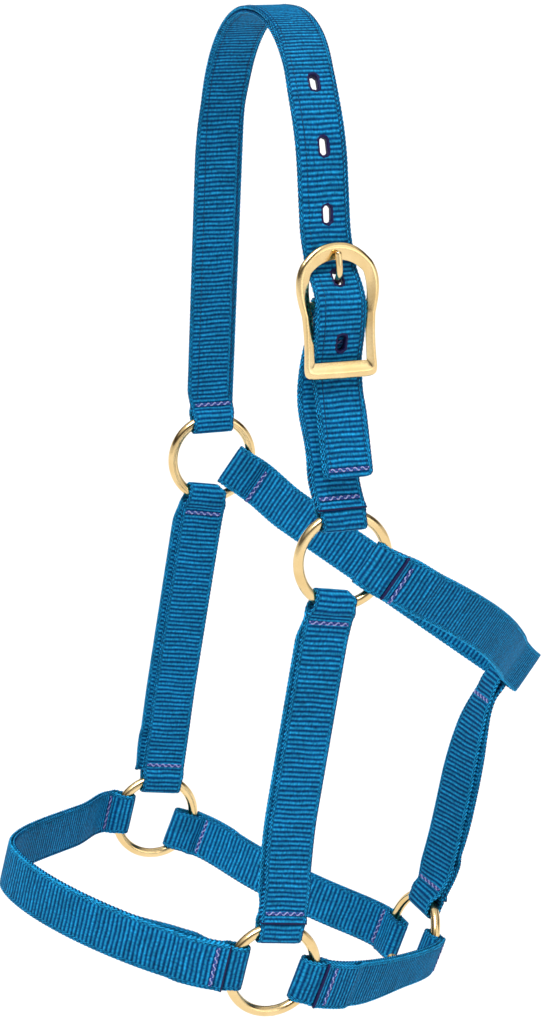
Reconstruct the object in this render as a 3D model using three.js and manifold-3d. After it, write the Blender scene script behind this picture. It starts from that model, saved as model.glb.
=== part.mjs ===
// Webbing head halter for a horse, buckled closed, in the shape it has on the head.
// Frame: +Z up, -X towards the nose, +X towards the throat, -Y the horse's left (buckle) side.
// The origin is the underside of the crown strap at the poll, where the halter rests on the head.
// All sizes are millimetres.

import * as THREE from 'three';
import { mergeVertices } from 'three/addons/utils/BufferGeometryUtils.js';
import Module from 'manifold-3d';

const wasm = await Module();
wasm.setup();

// ---------------------------------------------------------------- driving dimensions

const WEBBING_WIDTH = 25.4;         // one-inch webbing
const PLY = 1.9;                    // one thickness of webbing
const PLY_GAP = 0.3;                // between the two plies of a strap
const PLY_PITCH = PLY + PLY_GAP;
const PLY_MID = PLY_PITCH / 2;      // a ply's centre from its strap's middle

const RING_INNER_RADIUS = 21.3;
const WIRE_RADIUS = 2.8;
const RING_RADIUS = RING_INNER_RADIUS + WIRE_RADIUS;

const HALTER_WIDTH = 219.5;         // between the two side rings, centre to centre
const CROWN_RISE = 268;             // upper ring centres up to the middle of the crown strap
const ARCH_RADIUS = 85;             // crown strap over the poll
const CROWN_FLAT = 6;               // it lies flat on the poll for this length
const LOWER_RING = [-38.1, -222.9]; // side view (x, z) from the upper rings
const CHIN_RING = [87.5, -272];
const CHIN_RING_YAW = THREE.MathUtils.degToRad(4);    // the ring hangs turned to the near side
const THROAT_FOLD = [156.5, -116.1];
const NOSE_TIP = [-154.1, -194.1];

const LOOP_CLEARANCE = 0.3;         // webbing to ring wire
const LOOP_REACH = 15.3;            // ring centre to the outside of a strap's fold
const LOOP_HALF_WIDTH = 12;         // the webbing is drawn in where it folds round a ring
const LOOP_STRAIGHT = 25.4;         // the loop's sides run parallel this far from the ring centre
const LOOP_CLOSED = 32;             // and lie together from here on
const CUT_END = 28;                 // cut end of the outer ply, from the ring centre
const TAIL_END = 49;                // end of the tail sewn in under the outer ply
const LAP_START = 50;               // past the tail the outer ply comes down
const LAP_END = 58;                 // and lies flat again from here
const DRAW_IN = 7.8;                // the webbing starts to widen this far past its fold
const FULL_WIDTH_AT = 30;           // distance from the ring centre where the webbing is full width

const STITCH_AT = 33.6;             // stitch row from the ring centre
const STITCH_SPAN = 21;             // length of a stitch row across the strap
const THREAD = 0.8;
const THREAD_CLEARANCE = 0.3;

const HOLE_PITCH = 33.3;            // adjustment holes along the crown strap
const HOLE_LENGTH = 9.3;
const HOLE_WIDTH = 4.5;
const TONGUE_HOLE_AT = 142;         // tongue hole up the near leg from the ring centre

const BUCKLE_BAR_AT = 130.8;        // centre bar up the near leg from the ring centre
const BUCKLE_BAR_OUT = 3.3;         // centre bar out from the billet's middle
const BUCKLE_BAR_RADIUS = 2;
const BAR_IN_FRAME = 6;             // its two ends are cast into the frame
const BUCKLE_BACK = 4.7;            // back of the buckle frame out from the billet's middle
const BUCKLE_THICKNESS = 4;
const BUCKLE_TOP = 31;              // frame outline from the centre bar
const BUCKLE_BOTTOM = 37;
const BUCKLE_TOP_HALF = 21.4;
const BUCKLE_WAIST_HALF = 18.5;
const BUCKLE_BOTTOM_HALF = 19.2;
const WINDOW_HALF = 13.9;
const WINDOW_TOP = 22.3;
const WINDOW_BOTTOM = 28.4;
const TONGUE_RADIUS = 1.55;
const TONGUE_EYE_WALL = 1.6;
const TONGUE_EYE_WIDTH = 4.8;
const TONGUE_EYE_CLEARANCE = 0.3;

// ---------------------------------------------------------------- materials

const webbing = new THREE.MeshStandardMaterial({ color: 0x0f6fa6, roughness: 0.85, metalness: 0 });
const brass = new THREE.MeshStandardMaterial({ color: 0xd9bd7c, roughness: 0.25, metalness: 1 });
const thread = new THREE.MeshStandardMaterial({ color: 0x5f63b8, roughness: 0.7, metalness: 0 });

const halter = new THREE.Group();
halter.position.z = -(CROWN_RISE - PLY_MID - PLY / 2);   // puts the origin under the crown

// ---------------------------------------------------------------- small helpers

const smooth = (x, from, to) => THREE.MathUtils.smoothstep(x, from, to);

function toSolid(geometry) {
  const bare = geometry.clone();
  bare.deleteAttribute('normal');
  bare.deleteAttribute('uv');
  const merged = mergeVertices(bare, 1e-4);
  return new wasm.Manifold(new wasm.Mesh({
    numProp: 3,
    vertProperties: Float32Array.from(merged.attributes.position.array),
    triVerts: Uint32Array.from(merged.index.array),
  }));
}

function toGeometry(solid) {
  const mesh = solid.getMesh();
  const geometry = new THREE.BufferGeometry();
  geometry.setAttribute('position', new THREE.BufferAttribute(mesh.vertProperties, 3));
  geometry.setIndex(new THREE.BufferAttribute(mesh.triVerts, 1));
  return geometry;
}

function cut(geometry, cutters) {
  let solid = toSolid(geometry);
  for (const cutter of cutters) solid = solid.subtract(toSolid(cutter));
  return toGeometry(solid);
}

// A place is a matrix whose x runs along a strap, y points out of its face and z across it.
function place(origin, along, outward) {
  const x = new THREE.Vector3(...along).normalize();
  const y = new THREE.Vector3(...outward).normalize();
  const z = new THREE.Vector3().crossVectors(x, y);
  return new THREE.Matrix4().makeBasis(x, y, z).setPosition(...origin);
}

function addPiece(name, geometry, material, matrix) {
  const mesh = new THREE.Mesh(geometry, material);
  mesh.name = name;
  mesh.applyMatrix4(matrix);
  halter.add(mesh);
}

// ---------------------------------------------------------------- a strap's spine

// The middle line of a strap in its side view, as a function of the distance along it.
function makeSpine(curves) {
  const points = [];
  for (const curve of curves) {
    const count = Math.max(1, Math.round(curve.getLength()));
    const part = curve.getSpacedPoints(count);
    points.push(...(points.length ? part.slice(1) : part));
  }
  const reach = [0];
  for (let i = 1; i < points.length; i++) reach.push(reach[i - 1] + points[i].distanceTo(points[i - 1]));
  const length = reach[reach.length - 1];
  function at(distance) {
    let i = reach.findIndex((value) => value >= distance);
    i = THREE.MathUtils.clamp(i, 1, points.length - 1);
    const part = (distance - reach[i - 1]) / (reach[i] - reach[i - 1]);
    const point = points[i - 1].clone().lerp(points[i], part);
    const before = points[Math.max(0, i - 3)];
    const after = points[Math.min(points.length - 1, i + 2)];
    const along = after.clone().sub(before).normalize();
    return { point, along };
  }
  function offset(distance, out) {
    const { point, along } = at(distance);
    return new THREE.Vector2(point.x - along.y * out, point.y + along.x * out);
  }
  return { length, at, offset };
}

const line = (a, b) => new THREE.LineCurve(new THREE.Vector2(...a), new THREE.Vector2(...b));
const bezier = (...p) => new THREE.CubicBezierCurve(...p.map((q) => new THREE.Vector2(...q)));

// How far a ply's centre stands from the spine, at a distance from a ring's centre.
const LOOP_RADIUS = WIRE_RADIUS + LOOP_CLEARANCE + PLY / 2;
const FOLD_CENTRE = LOOP_REACH + PLY / 2 + LOOP_RADIUS;
const between = (from, to, parts) => Array.from({ length: parts + 1 },
  (_, i) => from + (to - from) * i / parts);
const LOOP_BENDS = [...between(LOOP_STRAIGHT, LOOP_CLOSED, 4), STITCH_AT + 2,
  ...between(LAP_START, LAP_END, 3)];

function spread(fromRing) {
  return THREE.MathUtils.lerp(LOOP_RADIUS, PLY_MID, smooth(fromRing, LOOP_STRAIGHT, LOOP_CLOSED));
}

// How much further out the outer ply stands where it lies over the tail.
const lap = (fromRing) => PLY_PITCH * (1 - smooth(fromRing, LAP_START, LAP_END));

// Distances along a spine where its plies get a point: close together only where they bend.
function stations(from, to, step, bends) {
  const marks = new Set([from, to]);
  for (const bend of bends) if (bend > from && bend < to) marks.add(bend);
  for (let d = Math.ceil(from / step) * step; d < to; d += step) {
    if ([...marks].every((mark) => Math.abs(mark - d) > step / 3)) marks.add(d);
  }
  return [...marks].sort((a, b) => a - b);
}

function halfTurn(spine, distance, direction, radius, side) {
  const { point, along } = spine.at(distance);
  const across = new THREE.Vector2(-along.y, along.x);
  const steps = 8;
  const turn = [];
  for (let i = 0; i <= steps; i++) {
    const angle = Math.PI * i / steps;
    turn.push(point.clone()
      .addScaledVector(across, side * radius * Math.cos(angle))
      .addScaledVector(along, direction * radius * Math.sin(angle)));
  }
  return turn;
}

// The closed outline of one thickness of webbing along a path.
function webbingShape(path) {
  const left = [];
  const right = [];
  for (let i = 0; i < path.length; i++) {
    const before = i ? path[i].clone().sub(path[i - 1]).normalize() : null;
    const after = i < path.length - 1 ? path[i + 1].clone().sub(path[i]).normalize() : null;
    const along = (before && after) ? before.clone().add(after).normalize() : (before || after);
    const mitre = (before && after) ? 1 / Math.max(0.7, along.dot(after)) : 1;
    const across = new THREE.Vector2(-along.y, along.x).multiplyScalar(PLY / 2 * mitre);
    left.push(path[i].clone().add(across));
    right.push(path[i].clone().sub(across));
  }
  return new THREE.Shape([...left, ...right.reverse()]);
}

// Webbing extruded along a path, WEBBING_WIDTH wide and centred on z = 0. Each of edges gives the
// z of an edge, +1 or -1, at a place in the side view, or null where it leaves it as it is.
function webbingAlong(path, edges = []) {
  const geometry = new THREE.ExtrudeGeometry(webbingShape(path), {
    depth: WEBBING_WIDTH, bevelEnabled: false, steps: 1,
  });
  geometry.translate(0, 0, -WEBBING_WIDTH / 2);
  const position = geometry.attributes.position;
  for (let i = 0; i < position.count; i++) {
    for (const edge of edges) {
      const z = edge(position.getX(i), position.getY(i), Math.sign(position.getZ(i)));
      if (z !== null) position.setZ(i, z);
    }
  }
  return geometry;
}

// The webbing is drawn in where it folds round a ring at (x, y), and may lie off the ring's middle.
function drawnIn([ringX, ringY], foldHalf = LOOP_HALF_WIDTH, shift = 0) {
  return (x, y, side) => {
    const fromRing = Math.hypot(x - ringX, y - ringY);
    if (fromRing > LAP_END) return null;
    const blend = smooth(fromRing, LOOP_REACH + DRAW_IN, FULL_WIDTH_AT);
    return side * THREE.MathUtils.lerp(foldHalf, WEBBING_WIDTH / 2, blend)
      + shift * (1 - smooth(fromRing, FULL_WIDTH_AT, LAP_END));
  };
}

// A strap between two rings: one length of webbing that starts with a cut end at the first ring,
// runs out, folds round the second ring, comes back, folds round the first ring, and ends as a
// tail under its own start. outer is the side, +1 or -1, that the cut end lies on.
function ringToRing(spine, { outer = 1, step = 12, reachA = 0, reachB = 0, reshape = (p) => p } = {}) {
  const far = spine.length;
  const open = (d) => Math.max(spread(d), spread(far - d));
  const allBends = [...LOOP_BENDS, ...LOOP_BENDS.map((d) => far - d)];
  const foldA = FOLD_CENTRE + reachA;
  const foldB = far - FOLD_CENTRE - reachB;
  const outerRun = stations(CUT_END, foldB, step, allBends);
  const innerRun = stations(foldA, foldB, step, allBends).reverse();
  const tailRun = stations(foldA, TAIL_END, step, LOOP_BENDS);
  return [
    ...outerRun.slice(0, -1).map((d) => spine.offset(d, outer * (open(d) + lap(d)))),
    ...halfTurn(spine, foldB, 1, LOOP_RADIUS, outer),
    ...reshape(innerRun.slice(1, -1).map((d) => spine.offset(d, -outer * open(d)))),
    ...halfTurn(spine, foldA, -1, LOOP_RADIUS, -outer),
    ...tailRun.slice(1).map((d) => spine.offset(d, outer * open(d))),
  ];
}

// ---------------------------------------------------------------- stitch rows

// One row of thread: it shows on both faces and passes through the plies at its two ends.
function threadRow(plies) {
  const outer = STITCH_SPAN / 2;
  const inner = outer - THREAD;
  const back = -PLY_MID - PLY / 2 - THREAD_CLEARANCE;
  const front = back + PLY + (plies - 1) * PLY_PITCH + 2 * THREAD_CLEARANCE;
  const shape = new THREE.Shape([
    new THREE.Vector2(back - THREAD, -outer), new THREE.Vector2(front + THREAD, -outer),
    new THREE.Vector2(front + THREAD, outer), new THREE.Vector2(back - THREAD, outer),
  ]);
  shape.holes.push(new THREE.Path([
    new THREE.Vector2(back, -inner), new THREE.Vector2(back, inner),
    new THREE.Vector2(front, inner), new THREE.Vector2(front, -inner),
  ]));
  const geometry = new THREE.ExtrudeGeometry(shape, { depth: THREAD, bevelEnabled: false });
  geometry.translate(0, 0, -THREAD / 2);
  return geometry;   // x out of the strap's face, y across it, z along it
}

// Where a stitch row sits, in its strap's place: thread geometry's x, y, z become out, across, along.
function rowMatrix(spine, distance, outer) {
  const { point, along } = spine.at(distance);
  const out = new THREE.Vector3(-along.y * outer, along.x * outer, 0);
  const alongStrap = new THREE.Vector3(along.x, along.y, 0);
  const across = new THREE.Vector3().crossVectors(alongStrap, out);
  return new THREE.Matrix4().makeBasis(out, across, alongStrap).setPosition(point.x, point.y, 0);
}

function needleHoles(matrix) {
  const side = THREAD + 2 * THREAD_CLEARANCE;
  const depth = 16;
  return [-1, 1].map((end) => {
    const hole = new THREE.BoxGeometry(depth, side, side);
    hole.translate(0, end * (STITCH_SPAN - THREAD) / 2, 0);
    return hole.applyMatrix4(matrix);
  });
}

// Adds a strap and its stitch rows. rows: [name, distance along the spine, plies, outer side].
function addStrap(name, spine, path, matrix, edges, rows, cutters = []) {
  const rowPlaces = rows.map(([, distance, , outer]) => rowMatrix(spine, distance, outer));
  const geometry = cut(webbingAlong(path, edges), [...rowPlaces.flatMap(needleHoles), ...cutters]);
  addPiece(name, geometry, webbing, matrix);
  rows.forEach(([rowName, , plies], i) => {
    addPiece(rowName, threadRow(plies), thread, matrix.clone().multiply(rowPlaces[i]));
  });
}

// ---------------------------------------------------------------- rings

function addRing(name, centre, axis) {
  const section = [];
  for (let i = 0; i <= 8; i++) {
    const angle = (i + 0.5) * Math.PI / 4;
    const radius = WIRE_RADIUS / Math.cos(Math.PI / 8);
    section.push(new THREE.Vector2(RING_RADIUS + radius * Math.cos(angle), radius * Math.sin(angle)));
  }
  section[8].copy(section[0]);
  const geometry = new THREE.LatheGeometry(section, 40);
  const turn = new THREE.Quaternion().setFromUnitVectors(
    new THREE.Vector3(0, 1, 0), new THREE.Vector3(...axis).normalize());
  addPiece(name, geometry, brass, new THREE.Matrix4().compose(
    new THREE.Vector3(...centre), turn, new THREE.Vector3(1, 1, 1)));
}

const SIDES = [['near', -1], ['far', 1]];
const HALF = HALTER_WIDTH / 2;
const chinRun = new THREE.Vector2(CHIN_RING[0] - LOWER_RING[0], CHIN_RING[1] - LOWER_RING[1]);
const chinAlong = [chinRun.x / chinRun.length(), 0, chinRun.y / chinRun.length()];
const chinUp = new THREE.Vector3(-chinAlong[2], 0, chinAlong[0]);
const chinRingAxis = new THREE.Vector3(...chinAlong).applyAxisAngle(chinUp, CHIN_RING_YAW);

for (const [side, sign] of SIDES) {
  addRing(`${side}_upper_ring`, [0, sign * HALF, 0], [0, 1, 0]);
  addRing(`${side}_lower_ring`, [LOWER_RING[0], sign * HALF, LOWER_RING[1]], [0, 1, 0]);
}
addRing('chin_ring', [CHIN_RING[0], 0, CHIN_RING[1]], chinRingAxis.toArray());

// ---------------------------------------------------------------- cheek straps

const cheekVector = new THREE.Vector2(...LOWER_RING);
const cheekLength = cheekVector.length();
const cheekSpine = makeSpine([line([0, 0], [cheekLength, 0])]);
const CHEEK_FOLD_HALF = 11.4;
const CHEEK_FOLD_REACH = 0.45;
const CORNER_START = 6;             // the top corner is pressed back beside the throatlatch
const CORNER_SLOPE = 1.6;
const CORNER_INSET = 0.8;           // from the outside of the fold to where the slope starts
const NO_STATIONS = 1000;           // a straight strap needs points only where its plies part

function cheekTopEdge(throatSide) {
  const plain = drawnIn([cheekLength, 0], CHEEK_FOLD_HALF);
  return (x, y, side) => {
    const z = plain(x, y, side);
    if (z === null || side !== throatSide) return z;
    const fromFold = Math.max(0, cheekLength - x - LOOP_REACH - CORNER_INSET);
    return side * Math.min(Math.abs(z), CORNER_START + CORNER_SLOPE * fromFold);
  };
}

for (const [side, sign] of SIDES) {
  // The cut end is at the lower ring, so the strap is drawn from there up.
  const matrix = place([LOWER_RING[0], sign * HALF, LOWER_RING[1]],
    [-cheekVector.x, 0, -cheekVector.y], [0, sign, 0]);
  const throatSide = Math.sign(new THREE.Vector3().setFromMatrixColumn(matrix, 2).x);
  const edges = [drawnIn([0, 0]), cheekTopEdge(throatSide)];
  const path = ringToRing(cheekSpine, { step: NO_STATIONS, reachB: CHEEK_FOLD_REACH });
  addStrap(`${side}_cheek_strap`, cheekSpine, path, matrix, edges, [
    [`${side}_cheek_lower_stitching`, STITCH_AT, 3, 1],
    [`${side}_cheek_upper_stitching`, cheekLength - STITCH_AT, 2, 1],
  ]);
}

// ---------------------------------------------------------------- noseband

const RING_SHOULDER = 28.5;       // a strap runs straight out of a ring this far
const noseRun = new THREE.Vector2(NOSE_TIP[0] - LOWER_RING[0], NOSE_TIP[1] - LOWER_RING[1]);
const noseReach = noseRun.length();
const noseNear = [
  line([0, -HALF], [RING_SHOULDER, -HALF]),
  bezier([RING_SHOULDER, -HALF], [57, -HALF], [noseReach, -50], [noseReach, 0]),
];
const noseFar = [
  line([0, HALF], [RING_SHOULDER, HALF]),
  bezier([RING_SHOULDER, HALF], [40, HALF - 3], [46, 91], [58, 79]),
  bezier([58, 79], [88, 50], [noseReach, 24], [noseReach, 0]),
];

// The spine that runs down the near half of a strap and back up its far half.
function thereAndBack(near, far) {
  const back = far.slice().reverse().map((curve) => (curve.isLineCurve
    ? new THREE.LineCurve(curve.v2, curve.v1)
    : new THREE.CubicBezierCurve(curve.v3, curve.v2, curve.v1, curve.v0)));
  return makeSpine([...near, ...back]);
}

const noseSpine = thereAndBack(noseNear, noseFar);
const nosePlace = place([LOWER_RING[0], 0, LOWER_RING[1]], [noseRun.x, 0, noseRun.y], [0, 1, 0]);
addStrap('noseband', noseSpine, ringToRing(noseSpine, { outer: -1, step: 9 }), nosePlace,
  [drawnIn([0, -HALF]), drawnIn([0, HALF])], [
    ['noseband_near_stitching', STITCH_AT, 3, -1],
    ['noseband_far_stitching', noseSpine.length - STITCH_AT, 2, -1],
  ]);

// ---------------------------------------------------------------- chin straps

const chinReach = chinRun.length();
const chinPlace = place([LOWER_RING[0], 0, LOWER_RING[1]], chinAlong, [0, 1, 0]);
const yawX = Math.sin(CHIN_RING_YAW);
const yawY = Math.cos(CHIN_RING_YAW);

const CHIN_DROP = { near: 1.5, far: 4.5 };   // each lies this far below the middle of its rings
const CHIN_LOOP_REACH = { near: -1.4, far: -4.2 };
const offChinRing = (sign, distance) => [chinReach - sign * distance * yawX, sign * distance * yawY];
const chinCurves = {
  near: [bezier([RING_SHOULDER, -HALF], [54, -HALF], offChinRing(-1, 40), offChinRing(-1, RING_SHOULDER))],
  far: [bezier([RING_SHOULDER, HALF], [40, HALF], [46, 96], [56, 84]),
    bezier([56, 84], [76, 60], offChinRing(1, 46), offChinRing(1, RING_SHOULDER))],
};

for (const [side, sign] of SIDES) {
  const spine = makeSpine([line([0, sign * HALF], [RING_SHOULDER, sign * HALF]), ...chinCurves[side],
    line(offChinRing(sign, RING_SHOULDER), [chinReach, 0])]);
  const reach = CHIN_LOOP_REACH[side];
  const lowered = chinPlace.clone().multiply(new THREE.Matrix4().makeTranslation(0, 0, -CHIN_DROP[side]));
  addStrap(`${side}_chin_strap`, spine,
    ringToRing(spine, { outer: sign, step: 9, reachA: reach, reachB: reach }), lowered,
    [drawnIn([0, sign * HALF]), drawnIn([chinReach, 0])], [
      [`${side}_chin_side_stitching`, STITCH_AT, 3, sign],
      [`${side}_chin_ring_stitching`, spine.length - STITCH_AT, 2, sign],
    ]);
}

// ---------------------------------------------------------------- throatlatch

const THROAT_LOOP_SHIFT = 2.8;      // the throatlatch lies a little above the middle of its rings
const THROAT_LOOP_REACH = -4;
const THROAT_FOLD_HALF = 12.7;
const CHORD_AT = 15;                // its inner ply runs straight across, this far inside the fold
const CHORD_HALF = 10.6;
const CHORD_TOP = 9.5;              // pressed down there by the connector's loop
const CHORD_BOTTOM = -14.5;         // the connector's plies stand apart from below it
const THROAT_LIFT = 11;             // its near half bows up between its ring and its fold
const LIFT_FULL = 100;
const LIFT_FALLS = 125;
const LIFT_LOST = 0.9;

const throatVector = new THREE.Vector2(...THROAT_FOLD);
const throatReach = throatVector.length();
const chordX = throatReach - CHORD_AT;
const foldEdge = [throatReach - PLY, 0];
const nearThroat = [
  line([0, -HALF], [RING_SHOULDER, -HALF]),
  bezier([RING_SHOULDER, -HALF], [75, -HALF], [125, -86], [166, -30]),
  bezier([166, -30], [178, -13], [throatReach - PLY, -10], foldEdge),
];
const farThroat = [
  line([0, HALF], [RING_SHOULDER, HALF]),
  bezier([RING_SHOULDER, HALF], [44, HALF], [54, 97], [68, 87.5]),
  line([68, 87.5], [174, 17.5]),
  bezier([174, 17.5], [184, 11], [throatReach - PLY, 8], foldEdge),
];
const throatSpine = thereAndBack(nearThroat, farThroat);
const throatPlace = place([0, 0, 0], [throatVector.x, 0, throatVector.y], [0, 1, 0]);

// The inner ply leaves the outer one before the fold and crosses straight over inside it.
function straightAcross(path) {
  const sides = path.filter((point) => point.x < chordX - 2.5);
  const middle = sides.findIndex((point) => point.y < 0);
  const corner = (sign) => [[chordX - 1, CHORD_HALF + 0.9], [chordX - 0.3, CHORD_HALF + 0.1],
    [chordX, CHORD_HALF - 1]].map(([x, y]) => new THREE.Vector2(x, sign * y));
  return [...sides.slice(0, middle), ...corner(1), ...corner(-1).reverse(), ...sides.slice(middle)];
}

function chordEdge(x, y, side) {
  const onChord = Math.abs(x - chordX) < 2 && Math.abs(y) < CHORD_HALF + 1.8;
  return onChord && side > 0 ? CHORD_TOP : null;
}

const plainEdge = (x, y, side) => side * WEBBING_WIDTH / 2;
const bowed = (edge) => (x, y, side) => {
  const z = edge(x, y, side);
  if (z === null || y > 0) return z;
  return z + THROAT_LIFT * smooth(x, STITCH_AT, LIFT_FULL)
    * (1 - LIFT_LOST * smooth(x, LIFT_FALLS, throatReach));
};

addStrap('throatlatch', throatSpine, ringToRing(throatSpine, {
  outer: -1, step: 8, reachA: THROAT_LOOP_REACH, reachB: THROAT_LOOP_REACH, reshape: straightAcross,
}), throatPlace, [
  bowed(plainEdge),
  bowed(drawnIn([0, -HALF], THROAT_FOLD_HALF, THROAT_LOOP_SHIFT)),
  drawnIn([0, HALF], THROAT_FOLD_HALF, THROAT_LOOP_SHIFT),
  chordEdge,
], [
  ['throatlatch_near_stitching', STITCH_AT, 3, -1],
  ['throatlatch_far_stitching', throatSpine.length - STITCH_AT, 2, -1],
]);

// ---------------------------------------------------------------- connector, chin ring to throat

const CONNECTOR_TOP_HALF = 8.5;     // drawn in where it passes through the throatlatch
const CONNECTOR_NARROW = 26;        // it keeps that width this far below the top of its loop
const CONNECTOR_FULL = 55;          // and is full width from here down
const CHORD_LOOP = PLY_PITCH;       // its plies stand this far from the ply they loop round
const CHORD_DEPTH = 15;             // down to this far below the chord's top
const CHORD_CLOSE = 9;              // and come together over this length
const THROAT_STITCH = 26;           // stitch row below the chord's top
const CONNECTOR_TWIST = THREE.MathUtils.degToRad(19);   // it hangs twisted between its two ends
const TWIST_START = 30;
const TWIST_FULL = 60;
const TWIST_END = 70;

const throatAlong = new THREE.Vector2(...THROAT_FOLD).normalize();
const throatUp = new THREE.Vector2(-throatAlong.y, throatAlong.x);
const chordCentre = throatAlong.clone().multiplyScalar(chordX);
const chinCentre = new THREE.Vector2(...CHIN_RING);
const chinUp2 = new THREE.Vector2(chinUp.x, chinUp.z);
const onThroat = (up) => chordCentre.clone().addScaledVector(throatUp, up);

// Drawn in the side view (x, z), from the chin ring's centre up to the top of the loop.
const connectorEnd = onThroat(CHORD_TOP + 0.6);
const connectorSpine = makeSpine([
  new THREE.LineCurve(chinCentre, chinCentre.clone().addScaledVector(chinUp2, RING_SHOULDER)),
  new THREE.CubicBezierCurve(chinCentre.clone().addScaledVector(chinUp2, RING_SHOULDER),
    chinCentre.clone().addScaledVector(chinUp2, 75), onThroat(-50), onThroat(CHORD_BOTTOM)),
  new THREE.LineCurve(onThroat(CHORD_BOTTOM), connectorEnd),
]);

function connectorPath() {
  const far = connectorSpine.length;
  const apartAt = far - CHORD_TOP - CHORD_DEPTH;
  const open = (d) => Math.max(spread(d),
    THREE.MathUtils.lerp(PLY_MID, CHORD_LOOP, smooth(d, apartAt - CHORD_CLOSE, apartAt)));
  const bends = [...LOOP_BENDS, ...between(apartAt - CHORD_CLOSE, apartAt, 3)];
  const back = -1;               // the cut end lies on the throat side
  return [
    ...stations(CUT_END, far, 10, bends).slice(0, -1)
      .map((d) => connectorSpine.offset(d, back * (open(d) + lap(d)))),
    ...halfTurn(connectorSpine, far, 1, CHORD_LOOP, back),
    ...stations(FOLD_CENTRE, far, 10, bends).reverse().slice(1, -1)
      .map((d) => connectorSpine.offset(d, -back * open(d))),
    ...halfTurn(connectorSpine, FOLD_CENTRE, -1, LOOP_RADIUS, -back),
    ...stations(FOLD_CENTRE, TAIL_END, 10, bends).slice(1)
      .map((d) => connectorSpine.offset(d, back * open(d))),
  ];
}

// Turns a geometry of the connector about its spine: it hangs twisted between its two ends.
function twistConnector(geometry) {
  const position = geometry.attributes.position;
  const along = connectorEnd.clone().sub(chinCentre).normalize();
  const far = connectorSpine.length;
  for (let i = 0; i < position.count; i++) {
    const flat = new THREE.Vector2(position.getX(i), position.getY(i));
    const d = THREE.MathUtils.clamp(flat.clone().sub(chinCentre).dot(along), 0, far);
    const { point, along: tangent } = connectorSpine.at(d);
    const twist = d < TWIST_FULL
      ? THREE.MathUtils.lerp(CHIN_RING_YAW, CONNECTOR_TWIST, smooth(d, TWIST_START, TWIST_FULL))
      : CONNECTOR_TWIST * (1 - smooth(d, TWIST_END, far - TWIST_START));
    const axis = new THREE.Vector3(tangent.x, tangent.y, 0);
    const arm = new THREE.Vector3(flat.x - point.x, flat.y - point.y, position.getZ(i));
    arm.applyAxisAngle(axis, twist);
    position.setXYZ(i, point.x + arm.x, point.y + arm.y, arm.z);
  }
  return geometry;
}

function connectorTopEdge(x, y, side) {
  const below = connectorEnd.distanceTo(new THREE.Vector2(x, y));
  if (below > CONNECTOR_FULL) return null;
  const blend = smooth(below, CONNECTOR_NARROW, CONNECTOR_FULL);
  return side * THREE.MathUtils.lerp(CONNECTOR_TOP_HALF, WEBBING_WIDTH / 2, blend);
}

// x of the side view is the row's x, y is its z, so the width runs along -Y.
const sideView = place([0, 0, 0], [1, 0, 0], [0, 0, 1]);
{
  const rows = [
    ['connector_chin_stitching', STITCH_AT, 3, -1],
    ['connector_throat_stitching', connectorSpine.length - CHORD_TOP - THROAT_STITCH, 2, -1],
  ];
  const rowPlaces = rows.map(([, d, , outer]) => rowMatrix(connectorSpine, d, outer));
  const flat = cut(webbingAlong(connectorPath(), [drawnIn(CHIN_RING), connectorTopEdge]),
    rowPlaces.flatMap(needleHoles));
  addPiece('connector_strap', twistConnector(flat), webbing, sideView);
  rows.forEach(([name, , plies], i) => {
    addPiece(name, twistConnector(threadRow(plies).applyMatrix4(rowPlaces[i])), thread, sideView);
  });
}

// ---------------------------------------------------------------- crown strap

// Each crown leg rises straight out of its ring and then leans in. On the near leg, u runs up from
// the ring's centre and v stands out from it, for the billet, the crown strap's end and the buckle.
const archCentre = CROWN_RISE - ARCH_RADIUS;
const archAbove = archCentre - RING_SHOULDER;
const archBeside = HALF - CROWN_FLAT / 2;
const leanLength = Math.sqrt(archBeside ** 2 + archAbove ** 2 - ARCH_RADIUS ** 2);
const legLength = RING_SHOULDER + leanLength;
const legLean = Math.atan2(archBeside, archAbove) - Math.atan2(ARCH_RADIUS, leanLength);
const legSin = Math.sin(legLean);
const legCos = Math.cos(legLean);
const nearLeg = (u, v) => [-HALF + (u - RING_SHOULDER) * legSin - v * legCos,
  RING_SHOULDER + (u - RING_SHOULDER) * legCos + v * legSin];
const farLeg = (u) => [HALF - (u - RING_SHOULDER) * legSin, RING_SHOULDER + (u - RING_SHOULDER) * legCos];

// The strap's end dips behind the buckle's two bars, rides over its centre bar and hangs clear.
const CROWN_TIP_AT = 46;
const TIP_STITCH = 4;               // stitch row from the strap's cut end
const weave = [[legLength, 0], [179, 0.2], [165, 0.4], [156, 0.7], [148, 1.5], [139.4, 7.2],
  [BUCKLE_BAR_AT, 10.4], [117, 7.2], [102.3, 1.1], [94, 0.6], [79, 2.4], [63, 5.6], [CROWN_TIP_AT, 9]];
const crownCurve = new THREE.SplineCurve(weave.map(([u, v]) => new THREE.Vector2(...nearLeg(u, v))));
const flatEnd = CROWN_FLAT / 2;
const archFrom = (y, from, to) => new THREE.EllipseCurve(y, archCentre, ARCH_RADIUS, ARCH_RADIUS, from, to);
const arch = [archFrom(flatEnd, legLean, Math.PI / 2), line([flatEnd, CROWN_RISE], [-flatEnd, CROWN_RISE]),
  archFrom(-flatEnd, Math.PI / 2, Math.PI - legLean)];
const flatAt = legLength + ARCH_RADIUS * (Math.PI / 2 - legLean);
const crownSpine = makeSpine([line([HALF, 0], farLeg(RING_SHOULDER)),
  line(farLeg(RING_SHOULDER), farLeg(legLength)), ...arch, crownCurve]);
const crownPlace = place([0, 0, 0], [0, 1, 0], [0, 0, 1]);

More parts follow.
